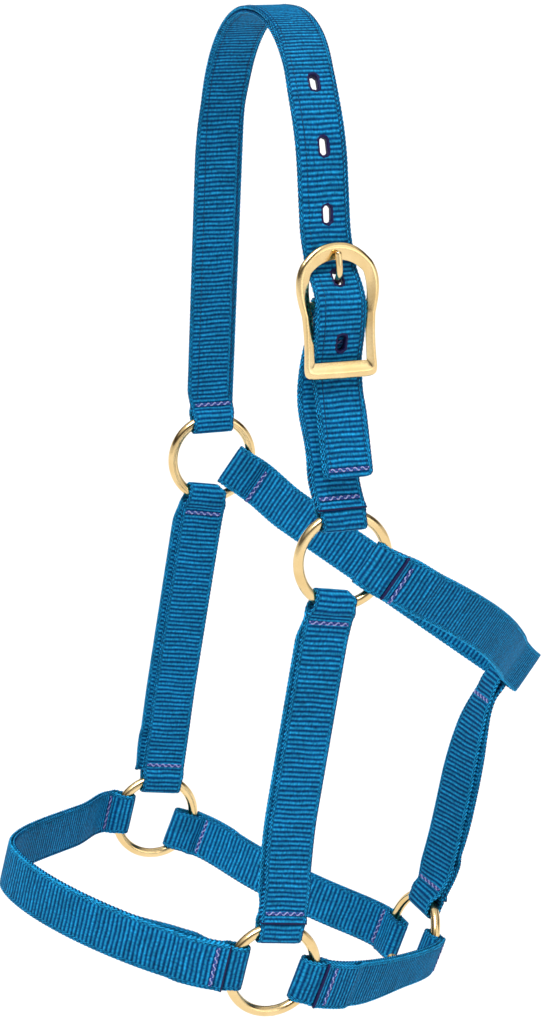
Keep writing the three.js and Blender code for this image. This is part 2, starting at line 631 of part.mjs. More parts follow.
function crownPath() {
  const step = 9;
  const tip = crownSpine.length;
  const outer = stations(FOLD_CENTRE, tip, step, [...LOOP_BENDS, flatAt, flatAt + CROWN_FLAT]);
  return [
    ...outer.slice().reverse().map((d) => crownSpine.offset(d, -spread(d))),
    ...halfTurn(crownSpine, FOLD_CENTRE, -1, LOOP_RADIUS, -1).slice(1, -1),
    ...outer.map((d) => crownSpine.offset(d, spread(d))),
  ];
}

// Distance along the crown strap of the place at height u on the near leg.
function crownAt(u) {
  const target = new THREE.Vector2(...nearLeg(u, 3));
  let best = crownSpine.length;
  for (let d = crownSpine.length; d > crownSpine.length / 2; d -= 0.5) {
    if (crownSpine.at(d).point.distanceTo(target) < crownSpine.at(best).point.distanceTo(target)) best = d;
  }
  return best;
}

function slotCutter(matrix, width, length) {
  const depth = 16;
  const radius = width / 2;
  const shape = new THREE.Shape();
  shape.absarc(0, length / 2 - radius, radius, 0, Math.PI, false);
  shape.absarc(0, -length / 2 + radius, radius, Math.PI, 2 * Math.PI, false);
  const geometry = new THREE.ExtrudeGeometry(shape, { depth, bevelEnabled: false, curveSegments: 4 });
  geometry.translate(0, 0, -depth / 2);
  // Its x goes across the strap, its y along it and its z out of the strap's face.
  return geometry.applyMatrix4(new THREE.Matrix4().makeBasis(
    new THREE.Vector3(0, 1, 0), new THREE.Vector3(0, 0, 1), new THREE.Vector3(1, 0, 0),
  )).applyMatrix4(matrix);
}

const tongueHole = crownAt(TONGUE_HOLE_AT);
const holes = between(-3, 1, 4).map((i) => slotCutter(
  rowMatrix(crownSpine, tongueHole + i * HOLE_PITCH, 1), HOLE_WIDTH, HOLE_LENGTH));
addStrap('crown_strap', crownSpine, crownPath(), crownPlace, [drawnIn([HALF, 0])], [
  ['crown_ring_stitching', STITCH_AT, 2, 1],
  ['crown_tip_stitching', crownSpine.length - TIP_STITCH, 2, 1],
], holes);

// ---------------------------------------------------------------- billet strap

const BILLET_TUCK = -4.6;           // it lies behind the strap's end at the buckle's bottom bar
const BAR_LOOP = BUCKLE_BAR_RADIUS + LOOP_CLEARANCE + PLY / 2;
const BAR_LOOP_START = 2;           // its plies stand apart to here from the bar's centre
const BAR_LOOP_CLOSED = 12;         // and lie together from here
const BAR_STITCH = 21;              // stitch row from the bar's centre
const EYE_SLOT = 6.2;               // slot in its fold for the tongue's eye
const EYE_SLOT_DEPTH = 24;
const billetSpine = makeSpine([line([-HALF, 0], nearLeg(RING_SHOULDER, 0)),
  line(nearLeg(RING_SHOULDER, 0), nearLeg(50, 0)),
  bezier(nearLeg(50, 0), nearLeg(67, 0), nearLeg(73, BILLET_TUCK), nearLeg(90, BILLET_TUCK)),
  bezier(nearLeg(90, BILLET_TUCK), nearLeg(106, BILLET_TUCK), nearLeg(116, -1.8),
    nearLeg(BUCKLE_BAR_AT, BUCKLE_BAR_OUT))]);

function billetPath() {
  const far = billetSpine.length;
  const open = (d) => Math.max(spread(d),
    THREE.MathUtils.lerp(BAR_LOOP, PLY_MID, smooth(far - d, BAR_LOOP_START, BAR_LOOP_CLOSED)));
  const bends = [...LOOP_BENDS, ...between(far - BAR_LOOP_CLOSED, far - BAR_LOOP_START, 4)];
  return [
    ...stations(CUT_END, far, 10, bends).slice(0, -1)
      .map((d) => billetSpine.offset(d, open(d) + lap(d))),
    ...halfTurn(billetSpine, far, 1, BAR_LOOP, 1),
    ...stations(FOLD_CENTRE, far, 10, bends).reverse().slice(1, -1)
      .map((d) => billetSpine.offset(d, -open(d))),
    ...halfTurn(billetSpine, FOLD_CENTRE, -1, LOOP_RADIUS, -1),
    ...stations(FOLD_CENTRE, TAIL_END, 10, bends).slice(1)
      .map((d) => billetSpine.offset(d, open(d))),
  ];
}

const eyeSlot = new THREE.BoxGeometry(EYE_SLOT_DEPTH, EYE_SLOT_DEPTH, EYE_SLOT);
eyeSlot.translate(...nearLeg(BUCKLE_BAR_AT + 5, BUCKLE_BAR_OUT), 0);
addStrap('billet_strap', billetSpine, billetPath(), crownPlace, [drawnIn([-HALF, 0])], [
  ['billet_ring_stitching', STITCH_AT, 3, 1],
  ['billet_buckle_stitching', billetSpine.length - BAR_STITCH, 2, 1],
], [eyeSlot]);

// ---------------------------------------------------------------- buckle

// The buckle's own place: x across the strap, y up the near leg, z out from it, centre bar at 0.
const [barY, barZ] = nearLeg(BUCKLE_BAR_AT, 0);
const bucklePlace = new THREE.Matrix4().makeBasis(new THREE.Vector3(1, 0, 0),
  new THREE.Vector3(0, legSin, legCos), new THREE.Vector3(0, -legCos, legSin)).setPosition(0, barY, barZ);

function frameOutline() {
  const shape = new THREE.Shape();
  const low = -BUCKLE_BOTTOM;
  shape.moveTo(-BUCKLE_BOTTOM_HALF + 4, low);
  shape.lineTo(BUCKLE_BOTTOM_HALF - 4, low);
  shape.quadraticCurveTo(BUCKLE_BOTTOM_HALF, low, BUCKLE_BOTTOM_HALF, low + 6);
  shape.bezierCurveTo(BUCKLE_WAIST_HALF, -22, BUCKLE_WAIST_HALF, -14, BUCKLE_WAIST_HALF + 0.8, -5);
  shape.bezierCurveTo(BUCKLE_TOP_HALF + 0.4, 5, BUCKLE_TOP_HALF + 2, 13, BUCKLE_TOP_HALF - 3, 21);
  shape.bezierCurveTo(13, 28, 8, BUCKLE_TOP, 0, BUCKLE_TOP);
  shape.bezierCurveTo(-8, BUCKLE_TOP, -13, 28, -BUCKLE_TOP_HALF + 3, 21);
  shape.bezierCurveTo(-BUCKLE_TOP_HALF - 2, 13, -BUCKLE_TOP_HALF - 0.4, 5, -BUCKLE_WAIST_HALF - 0.8, -5);
  shape.bezierCurveTo(-BUCKLE_WAIST_HALF, -14, -BUCKLE_WAIST_HALF, -22, -BUCKLE_BOTTOM_HALF, low + 6);
  shape.quadraticCurveTo(-BUCKLE_BOTTOM_HALF, low, -BUCKLE_BOTTOM_HALF + 4, low);
  return shape;
}

function windowOutline() {
  const path = new THREE.Path();
  path.moveTo(-WINDOW_HALF, -WINDOW_BOTTOM);
  path.lineTo(-WINDOW_HALF, 0);
  path.bezierCurveTo(-WINDOW_HALF - 1.6, 5, -WINDOW_HALF - 1.6, 10, -WINDOW_HALF, 16);
  path.bezierCurveTo(-9.5, 20.8, -5, WINDOW_TOP, 0, WINDOW_TOP);
  path.bezierCurveTo(5, WINDOW_TOP, 9.5, 20.8, WINDOW_HALF, 16);
  path.bezierCurveTo(WINDOW_HALF + 1.6, 10, WINDOW_HALF + 1.6, 5, WINDOW_HALF, 0);
  path.lineTo(WINDOW_HALF, -WINDOW_BOTTOM);
  return path;
}

function buckleFrame() {
  const shape = frameOutline();
  shape.holes.push(windowOutline());
  const frame = new THREE.ExtrudeGeometry(shape, {
    depth: BUCKLE_THICKNESS, bevelEnabled: false, curveSegments: 6,
  });
  frame.translate(0, 0, BUCKLE_BACK);
  const barLength = 2 * WINDOW_HALF + BAR_IN_FRAME;
  const bar = new THREE.CylinderGeometry(BUCKLE_BAR_RADIUS, BUCKLE_BAR_RADIUS, barLength, 16);
  bar.rotateZ(Math.PI / 2);
  bar.translate(0, 0, BUCKLE_BAR_OUT);
  return toGeometry(toSolid(frame).add(toSolid(bar)));
}
addPiece('buckle_frame', buckleFrame(), brass, bucklePlace);

function buckleTongue() {
  const eyeInner = BUCKLE_BAR_RADIUS + TONGUE_EYE_CLEARANCE;
  const eyeShape = new THREE.Shape();
  eyeShape.absarc(0, 0, eyeInner + TONGUE_EYE_WALL, 0, 2 * Math.PI, false);
  eyeShape.holes.push(new THREE.Path().absarc(0, 0, eyeInner, 0, 2 * Math.PI, true));
  const eye = new THREE.ExtrudeGeometry(eyeShape, {
    depth: TONGUE_EYE_WIDTH, bevelEnabled: false, curveSegments: 10,
  });
  eye.translate(0, 0, -TONGUE_EYE_WIDTH / 2);
  eye.rotateY(Math.PI / 2);
  eye.translate(0, 0, BUCKLE_BAR_OUT);
  // The prong's middle line, up the leg and out from it: under the strap's hole, then over the bar.
  const middle = new THREE.CatmullRomCurve3([[3.2, 3.3], [8.8, 3.2], [11.4, 4.6], [14.2, 7.4],
    [17.4, 9.9], [21, 10.6], [26.4, 10.6]]
    .map(([up, out]) => new THREE.Vector3(0, up, out)));
  const round = new THREE.Shape().absarc(0, 0, TONGUE_RADIUS, 0, 2 * Math.PI, false);
  const prong = new THREE.ExtrudeGeometry(round, {
    steps: 14, curveSegments: 5, bevelEnabled: false, extrudePath: middle,
  });
  return toGeometry(toSolid(eye).add(toSolid(prong)));
}
addPiece('buckle_tongue', buckleTongue(), brass, bucklePlace);

export default halter;
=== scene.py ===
"""The looks of a webbing head halter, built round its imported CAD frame.

Lengths are millimetres in the CAD's frame until a mesh is made, and metres from there on.
A strap is drawn as a path in its own side view (x, y), z runs across it, and a Place puts it in
the frame. +Z is up, -X towards the nose, -Y the animal's left (near) side.
"""

import math

import bpy
import numpy as np
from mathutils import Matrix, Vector


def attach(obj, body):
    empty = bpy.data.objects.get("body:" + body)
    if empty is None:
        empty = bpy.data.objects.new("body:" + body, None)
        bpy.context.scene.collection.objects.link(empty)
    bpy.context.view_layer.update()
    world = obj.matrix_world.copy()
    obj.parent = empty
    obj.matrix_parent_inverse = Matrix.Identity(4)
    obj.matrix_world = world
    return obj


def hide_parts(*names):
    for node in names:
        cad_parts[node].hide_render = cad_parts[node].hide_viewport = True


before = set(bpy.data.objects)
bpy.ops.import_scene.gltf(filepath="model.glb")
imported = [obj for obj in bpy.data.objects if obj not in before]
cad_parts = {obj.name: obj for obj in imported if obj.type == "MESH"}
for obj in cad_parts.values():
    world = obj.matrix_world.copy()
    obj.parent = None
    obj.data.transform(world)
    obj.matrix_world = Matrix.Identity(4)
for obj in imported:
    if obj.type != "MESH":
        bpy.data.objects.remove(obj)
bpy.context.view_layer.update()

MM = 0.001

# ---- driving dimensions, as in the CAD

WEBBING_WIDTH = 26.0  # over the braided edges, which the CAD leaves out
PLY = 1.9
PLY_PITCH = 2.2  # from the middle of one ply to the middle of the next
PLY_MID = PLY_PITCH / 2
RING_RADIUS = 24.1  # to the middle of the wire
WIRE_RADIUS = 2.8
HALF = 219.5 / 2  # from the middle plane to the side rings
CROWN_RISE = 268.0  # from the upper rings to the middle of the crown's two plies
ARCH_RADIUS = 85.0
CROWN_FLAT = 6.0  # the straight piece at the top of the arch
LOWER_RING = np.array([-38.1, -222.9])  # (x, z) from the upper rings, as are the next three
CHIN_RING = np.array([87.5, -272.0])
THROAT_FOLD = np.array([156.5, -116.1])
NOSE_TIP = np.array([-154.1, -194.1])
CHIN_RING_YAW = math.radians(4)
LOOP_REACH = 15.3  # how near a fold comes to its ring's centre
LOOP_HALF_WIDTH = 12.0
LOOP_STRAIGHT = 25.4  # from the ring's centre, the plies are a loop apart up to here
LOOP_CLOSED = 32.0  # and lie together from here
LOOP_RADIUS = WIRE_RADIUS + 0.3 + PLY / 2
FOLD_CENTRE = LOOP_REACH + PLY / 2 + LOOP_RADIUS
CUT_END = 28.0  # where the outer ply starts
TAIL_END = 49.0  # where the tail under it ends
LAP_END = 58.0  # where the outer ply has come down past the tail
DRAW_IN = 7.8  # how far the webbing stays drawn in
FULL_WIDTH_AT = 30.0
STITCH_AT = 33.6
STITCH_SPAN = 21.0
RING_SHOULDER = 28.5  # every strap runs straight out of its ring up to here
HOLE_PITCH = 33.3
HOLE_LENGTH = 9.3
HOLE_WIDTH = 4.5
TONGUE_HOLE_AT = 142.0  # up the near leg, as is the next one
BAR_AT = 130.8
BAR_OUT = 3.3
BAR_RADIUS = 2.0
FRAME_BACK = 4.7
FRAME_THICKNESS = 4.4
RISE = -(CROWN_RISE - PLY_MID - PLY / 2)  # the upper rings' height; the crown's underside is 0

# ---- the webbing's texture and sewing

RIB_PITCH = 2.55  # one woven rib of the webbing
RIB_STATIONS = 4  # mesh rows to a rib
RIB_DEPTH = 0.45
SELVEDGE = 0.84  # the braided edge starts at this share of the half width
BRAID_MIDDLE = 0.92  # and its two columns of strands meet here
BRAID_SLANT = 1.4  # turns of a strand across its column
BRAID_BEAD = 0.45  # how far the strands stand out of the edge
BRAID_SINK = 0.3  # how deep the gaps between them are, as a share of the thickness
WAVER = ((0.2, 0.17, 1.9), (0.13, 0.061, -4.1), (0.08, 0.9, 6))  # (size, along, across)
WAVER_FREE = 6  # the ribs lie straight this near an end
TIP_CORNER = 3.2  # the crown strap's end has rounded corners
STITCH_PITCH = 4.0
STITCH_SWING = 0.7
THREAD_RADIUS = 0.34

PATH_STEP = 0.5  # between the points of a path
TANGENT_REACH = 1.5  # a direction is taken over this much to each side
CURVE_POINTS = 81
TURN_POINTS = 25  # in half a turn
SPAN_POINTS = 16  # between two points of a smooth curve
HOLE_POINTS = 32  # round a hole

# ---- curves in a side view


def smooth(x, start, end):
    t = np.clip((np.asarray(x, float) - start) / (end - start), 0, 1)
    return t * t * (3 - 2 * t)


def eased(x, knots):
    """A value that eases from each (x, value) knot to the next."""
    value = np.full(np.shape(x), float(knots[0][1]))
    for (start, before), (end, after) in zip(knots, knots[1:]):
        value = value + (after - before) * smooth(x, start, end)
    return value


def mix(a, b, t):
    return a + (b - a) * t


def line(a, b):
    return np.array([a, b], float)


def bezier(a, b, c, d):
    t = np.linspace(0, 1, CURVE_POINTS)[:, None]
    a, b, c, d = (np.asarray(p, float) for p in (a, b, c, d))
    return a * (1 - t) ** 3 + 3 * b * t * (1 - t) ** 2 + 3 * c * t ** 2 * (1 - t) + d * t ** 3


def arc(centre, radius, start, end):
    angle = np.linspace(start, end, CURVE_POINTS)
    return np.array(centre) + radius * np.stack([np.cos(angle), np.sin(angle)], 1)


def through(points):
    """A smooth curve through points."""
    p = np.asarray(points, float)
    p = np.vstack([2 * p[0] - p[1], p, 2 * p[-1] - p[-2]])
    t = np.linspace(0, 1, SPAN_POINTS, endpoint=False)[:, None]
    parts = []
    for a, b, c, d in zip(p, p[1:], p[2:], p[3:]):
        parts.append(0.5 * (2 * b + (c - a) * t + (2 * a - 5 * b + 4 * c - d) * t ** 2
                            + (3 * b - a - 3 * c + d) * t ** 3))
    return np.vstack([*parts, p[-2:-1]])


def resample(points, step):
    """The same polyline at even steps, and the distance along it of each point."""
    points = np.asarray(points, float)
    gaps = np.linalg.norm(np.diff(points, axis=0), axis=1)
    points = points[np.r_[True, gaps > 1e-6]]
    reach = np.r_[0, np.cumsum(np.linalg.norm(np.diff(points, axis=0), axis=1))]
    count = max(2, int(round(reach[-1] / step)) + 1)
    marks = np.linspace(0, reach[-1], count)
    even = [np.interp(marks, reach, points[:, i]) for i in range(points.shape[1])]
    return np.stack(even, 1), marks


def square_to(along):
    """The directions a quarter turn on from each of along."""
    return np.stack([-along[:, 1], along[:, 0]], 1)


class Spine:
    """The middle line of a strap in its side view, by the distance along it."""

    def __init__(self, *curves):
        self.points, self.reach = resample(np.vstack(curves), PATH_STEP)
        self.length = self.reach[-1]

    def point(self, d):
        return np.stack([np.interp(d, self.reach, self.points[:, i]) for i in (0, 1)], 1)

    def at(self, distance):
        """The point and the direction at each distance."""
        d = np.clip(np.atleast_1d(np.asarray(distance, float)), 0, self.length)
        before = np.clip(d - TANGENT_REACH, 0, None)
        after = np.clip(d + TANGENT_REACH, None, self.length)
        along = self.point(after) - self.point(before)
        return self.point(d), along / np.linalg.norm(along, axis=1, keepdims=True)

    def offset(self, distance, out):
        point, along = self.at(distance)
        return point + square_to(along) * np.broadcast_to(out, (len(point),))[:, None]

    def half_turn(self, distance, direction, radius, side):
        point, along = self.at(distance)
        angle = np.linspace(0, math.pi, TURN_POINTS)[:, None]
        return (point + square_to(along) * side * radius * np.cos(angle)
                + along * direction * radius * np.sin(angle))


def run(start, end):
    return np.linspace(start, end, max(2, int(abs(end - start) / PATH_STEP)))


def spread(from_ring):
    """How far each ply lies from the spine: a loop apart at the ring, together beyond it."""
    return mix(LOOP_RADIUS, PLY_MID, smooth(from_ring, LOOP_STRAIGHT, LOOP_CLOSED))


def lap(distance):
    """How much further out the outer ply lies, where it covers the tail."""
    return PLY_PITCH * (1 - smooth(distance, TAIL_END, LAP_END))


def folded(spine, outer, apart, fold_a, fold_b, turn_b=LOOP_RADIUS, reshape=None):
    """One length of webbing: from its cut end over the tail, round fold b, back, round fold a
    at the first ring, and the tail. outer is the side, 1 or -1, the outer ply lies on."""
    outer_run, inner_run, tail_run = run(CUT_END, fold_b), run(fold_b, fold_a), run(fold_a, TAIL_END)
    inner = spine.offset(inner_run, -outer * apart(inner_run))[1:-1]
    return np.vstack([
        spine.offset(outer_run, outer * (apart(outer_run) + lap(outer_run)))[:-1],
        spine.half_turn(fold_b, 1, turn_b, outer),
        reshape(inner) if reshape else inner,
        spine.half_turn(fold_a, -1, LOOP_RADIUS, -outer),
        spine.offset(tail_run, outer * apart(tail_run))[1:]])


def ring_to_ring(spine, outer=1, reach_a=0.0, reach_b=0.0, reshape=None):
    """A strap folded round a ring at each end."""
    far = spine.length

    def apart(d):
        return np.maximum(spread(d), spread(far - d))

    return folded(spine, outer, apart, FOLD_CENTRE + reach_a, far - FOLD_CENTRE - reach_b,
                  reshape=reshape)


def drawn_in(ring, fold_half=LOOP_HALF_WIDTH, shift=0.0):
    """An edge rule: the webbing is drawn in where it folds round a ring."""
    def edge(x, y, side, z):
        from_ring = np.hypot(x - ring[0], y - ring[1])
        blend = smooth(from_ring, LOOP_REACH + DRAW_IN, FULL_WIDTH_AT)
        drawn = (side * mix(fold_half, WEBBING_WIDTH / 2, blend)
                 + shift * (1 - smooth(from_ring, FULL_WIDTH_AT, LAP_END)))
        return np.where(from_ring > LAP_END, z, drawn)
    return edge


def moved_across(points, amount):
    """Points of a side view moved along its z, which is across the strap."""
    return points + np.outer(amount, [0, 0, 1])


# ---- meshes


def unit(v):
    v = np.asarray(v, float)
    return v / np.linalg.norm(v)


class Place:
    """Where a side view lies in the frame: x along the strap, y out of its face, z across it."""

    def __init__(self, origin, along, outward, warp=None):
        self.x, self.y = unit(along), unit(outward)
        self.z = np.cross(self.x, self.y)
        self.origin = np.asarray(origin, float) + [0, 0, RISE]
        self.warp = warp

    def world(self, points):
        if self.warp is not None:
            points = self.warp(points)
        return self.origin + points @ np.stack([self.x, self.y, self.z])


def in_frame(point, y=0):
    """A side-view point (x, z) at y in the frame."""
    return np.array([point[0], y, point[1]])


def make_object(name, parts, materials, body, replaced=()):
    """One piece of the halter from (vertices in mm, faces, material index, uv) parts."""
    verts, faces, index, uvs = [], [], [], []
    base = 0
    for points, part_faces, material, uv in parts:
        verts.append(np.asarray(points) * MM)
        faces.extend([tuple(base + i for i in face) for face in part_faces])
        index.extend(material if isinstance(material, list) else [material] * len(part_faces))
        uvs.append(np.zeros((len(points), 2)) if uv is None else uv)
        base += len(points)
    mesh = bpy.data.meshes.new(name)
    mesh.from_pydata(np.vstack(verts).tolist(), [], faces)
    mesh.polygons.foreach_set("use_smooth", [True] * len(mesh.polygons))
    mesh.polygons.foreach_set("material_index", index)
    loops = np.empty(len(mesh.loops), np.int32)
    mesh.loops.foreach_get("vertex_index", loops)
    layer = mesh.uv_layers.new(name="cloth")
    layer.data.foreach_set("uv", np.vstack(uvs)[loops].ravel())
    for material in materials:
        mesh.materials.append(material)
    mesh.update()
    piece = bpy.data.objects.new(name, mesh)
    bpy.context.scene.collection.objects.link(piece)
    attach(piece, body)
    if replaced:
        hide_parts(*replaced)
    return piece


def cut_away(piece, points, faces):
    """Cuts a closed shape out of a piece."""
    mesh = bpy.data.meshes.new("cutter")
    mesh.from_pydata((points * MM).tolist(), [], faces)
    cutter = bpy.data.objects.new("cutter", mesh)
    bpy.context.scene.collection.objects.link(cutter)
    cut = piece.modifiers.new("slot", "BOOLEAN")
    cut.operation, cut.object, cut.solver = "DIFFERENCE", cutter, "MANIFOLD"
    bpy.context.view_layer.objects.active = piece
    bpy.ops.object.modifier_apply(modifier=cut.name)
    bpy.data.objects.remove(cutter)


def grid_faces(rows, columns, wrap_rows=False):
    """Quads of a grid of rows x columns whose columns close on themselves."""
    faces = []
    for i in range(rows if wrap_rows else rows - 1):
        a, b = i * columns, ((i + 1) % rows) * columns
        for j in range(columns):
            k = (j + 1) % columns
            faces.append((a + j, a + k, b + k, b + j))
    return faces


def end_faces(rows, columns):
    """The two faces that close the ends of such a grid."""
    return [tuple(range(columns))[::-1], tuple((rows - 1) * columns + j for j in range(columns))]


def tube(points, radius, sides, up=(0.0, 0.0, 1.0)):
    """A round-ended tube along points."""
    points = np.asarray(points, float)
    radii = np.broadcast_to(np.asarray(radius, float), (len(points),))
    along = np.gradient(points, axis=0)
    along /= np.linalg.norm(along, axis=1, keepdims=True)
    side = np.cross(along, np.asarray(up, float))
    side /= np.linalg.norm(side, axis=1, keepdims=True)
    lift = np.cross(side, along)
    caps = np.array([1.0, 0.8, 0.45])   # how far out each ring of the round end lies
    first = [points[0] - along[0] * radii[0] * cap for cap in caps]
    last = [points[-1] + along[-1] * radii[-1] * cap for cap in caps[::-1]]
    middle = np.vstack([first, points, last])
    cap_radii = np.sqrt(1 - caps ** 2) + 0.04
    radii = np.r_[radii[0] * cap_radii, radii, radii[-1] * cap_radii[::-1]]
    side, lift = (np.vstack([v[:1].repeat(3, 0), v, v[-1:].repeat(3, 0)]) for v in (side, lift))
    angle = np.arange(sides) * 2 * math.pi / sides
    rings = (middle[:, None] + radii[:, None, None]
             * (side[:, None] * np.cos(angle)[None, :, None]
                + lift[:, None] * np.sin(angle)[None, :, None]))
    return rings.reshape(-1, 3), grid_faces(len(middle), sides) + end_faces(len(middle), sides)


def section():
    """The webbing's cross-section: shares of the half width and of the half thickness."""
    edge = [(0.8, 1.0), (SELVEDGE, 0.74), (0.865, 0.95), (0.885, 1.0), (0.91, 0.86), (0.93, 0.98),
            (0.965, 0.86), (0.99, 0.5)]
    right = [(0.12, 1), (0.36, 1), (0.6, 1), *edge]
    face = [(-t, h) for t, h in reversed(right)] + right
    return np.array([(-1, 0), *face, (1, 0), *[(t, -h) for t, h in reversed(face)]])


def wavered(reach, share):
    """How far the ribs stray along the strap: not at all at its edges and ends."""
    stray = sum(size * np.sin(along * reach + across * share) for size, along, across in WAVER)
    return (stray * (1 - share ** 2) * smooth(reach, 0, WAVER_FREE)
            * smooth(reach[-1] - reach, 0, WAVER_FREE))


def webbing(path, edges, place, slip, melted):
    """The vertices, faces, materials and uv of ribbed webbing along a path.

    slip holds (distance, amount) knots: how far each ply lies to one side. The last flag says that the
    cut ends are sealed with heat, and that the first row at the cut end is painted shadow of the slit
    under the ply's edge.
    """
    path, reach = resample(path, RIB_PITCH / RIB_STATIONS)
    along = np.gradient(path, axis=0)
    along /= np.linalg.norm(along, axis=1, keepdims=True)
    across = square_to(along)
    x, y = path[:, 0], path[:, 1]
    low, high = np.full(len(path), -WEBBING_WIDTH / 2), np.full(len(path), WEBBING_WIDTH / 2)
    for edge in edges:
        low, high = edge(x, y, -1, low), edge(x, y, 1, high)
    if slip:
        shift = eased(reach, slip)
        low, high = low + shift, high + shift
    loop = section()
    share, height = loop[:, 0][None], loop[:, 1][None]
    phase = (reach / RIB_PITCH)[:, None]
    rib = np.sqrt(np.clip(1 - (2 * (phase - np.floor(phase)) - 1) ** 2, 0, 1))
    # two columns of slanted strands make the chevrons of the braid
    slant = np.abs(np.abs(share) - BRAID_MIDDLE) * BRAID_SLANT / (1 - BRAID_MIDDLE)
    strand = slant + np.where(height > 0, 0, 0.5)
    bead = 0.5 + 0.5 * np.cos(2 * math.pi * (phase + strand))
    proud = PLY / 2 + 0.05
    body = proud * height - np.sign(height) * RIB_DEPTH * (1 - rib) * (np.abs(height) > 0.5)
    braid = proud * height * (1 - BRAID_SINK + BRAID_SINK * bead)
    out = np.where(np.abs(share) > SELVEDGE, braid, body)
    z = mix(low[:, None], high[:, None], (share + 1) / 2)
    z = z + np.where(np.abs(share) > 0.95, np.sign(share) * BRAID_BEAD * (bead - 0.5), 0)
    stray = wavered(reach[:, None], share)
    flat = np.stack([x[:, None] + across[:, :1] * out + along[:, :1] * stray,
                     y[:, None] + across[:, 1:] * out + along[:, 1:] * stray, z], 2)
    points = place.world(flat.reshape(-1, 3))
    rows, columns = len(path), loop.shape[0]
    faces = grid_faces(rows, columns) + end_faces(rows, columns)
    materials = [0] * len(faces)
    # heat-sealed end caps, and the first row at the outer ply's cut end in the dark melted colour as
    # painted shadow of the slit under its edge
    if melted:
        materials[:columns] = [1] * columns
        materials[-2:] = [1, 1]
    uv = np.stack([np.repeat(reach, columns), np.tile(share[0] * WEBBING_WIDTH / 2, rows)], 1) * MM
    return points, [face[::-1] for face in faces], materials, uv


def row_frame(spine, distance, outer):
    """A point of the spine, and the directions out of, across and along the strap there."""
    point, along = spine.at(distance)
    along = np.array([*along[0], 0])
    out = np.array([-along[1], along[0], 0]) * outer
    return np.array([*point[0], 0]), out, np.cross(along, out), along


def stitch_row(spine, distance, plies, outer, place, span):
    """Two interlocking strands of thread on each face, and their ends through the plies."""
    centre, out, across, along = row_frame(spine, distance, outer)
    back = -PLY_MID - PLY / 2
    front = back + PLY + (plies - 1) * PLY_PITCH
    u = np.linspace(-span / 2, span / 2, int(span * 3))
    parts = []
    for level, outward in ((front, 1), (back, -1)):
        for strand, material in ((0.0, 0), (math.pi, 1)):
            wave = 2 * math.pi * u / STITCH_PITCH + strand
            rise = level + outward * (0.16 + 0.24 * np.cos(wave + 0.6))
            path = (centre + u[:, None] * across + (STITCH_SWING * np.sin(wave))[:, None] * along
                    + rise[:, None] * out)
            sunk = out * outward * 0.9
            path = np.vstack([path[0] - sunk, path, path[-1] - sunk])
            points, faces = tube(path, THREAD_RADIUS, 7, up=along)
            parts.append((place.world(points), faces, material, None))
    return parts


# ---- materials


def node_tree(name):
    material = bpy.data.materials.new(name)
    material.use_nodes = True
    tree = material.node_tree
    return material, tree, tree.nodes["Principled BSDF"]


def add(tree, kind, inputs=None, **settings):
    node = tree.nodes.new(kind)
    for key, value in settings.items():
        setattr(node, key, value)
    for socket, value in (inputs or {}).items():
        node.inputs[socket].default_value = value
    return node


def feed(tree, node, values):
    """Sets or links each of a node's sockets."""
    for socket, value in values.items():
        if isinstance(value, (int, float, tuple)):
            node.inputs[socket].default_value = value
        else:
            tree.links.new(value, node.inputs[socket])


def math_node(tree, operation, a, b=None):
    node = add(tree, "ShaderNodeMath", operation=operation)
    feed(tree, node, {0: a} if b is None else {0: a, 1: b})
    return node.outputs[0]


def mix_colour(tree, factor, a, b, blend="MIX"):
    node = add(tree, "ShaderNodeMix", data_type="RGBA", blend_type=blend)
    feed(tree, node, {0: factor, 6: a, 7: b})
    return node.outputs[2]


def object_point(tree):
    return add(tree, "ShaderNodeTexCoord").outputs["Object"]


def scaled(tree, vector, scale):
    node = add(tree, "ShaderNodeMapping", {"Scale": scale})
    tree.links.new(vector, node.inputs[0])
    return node.outputs[0]


def noise(tree, vector, scale, detail, roughness=0.5):
    node = add(tree, "ShaderNodeTexNoise", {"Scale": scale, "Detail": detail, "Roughness": roughness})
    tree.links.new(vector, node.inputs["Vector"])
    return node.outputs[0]


def ranged(tree, value, low, high, start=0.3, end=0.7):
    """A value from low to high; most of a noise lies between start and end."""
    node = add(tree, "ShaderNodeMapRange",
               {"From Min": start, "From Max": end, "To Min": low, "To Max": high})
    tree.links.new(value, node.inputs[0])
    return node.outputs[0]


def bump(tree, shader, height, strength, distance):
    node = add(tree, "ShaderNodeBump", {"Strength": strength, "Distance": distance})
    tree.links.new(height, node.inputs["Height"])
    tree.links.new(node.outputs[0], shader.inputs["Normal"])


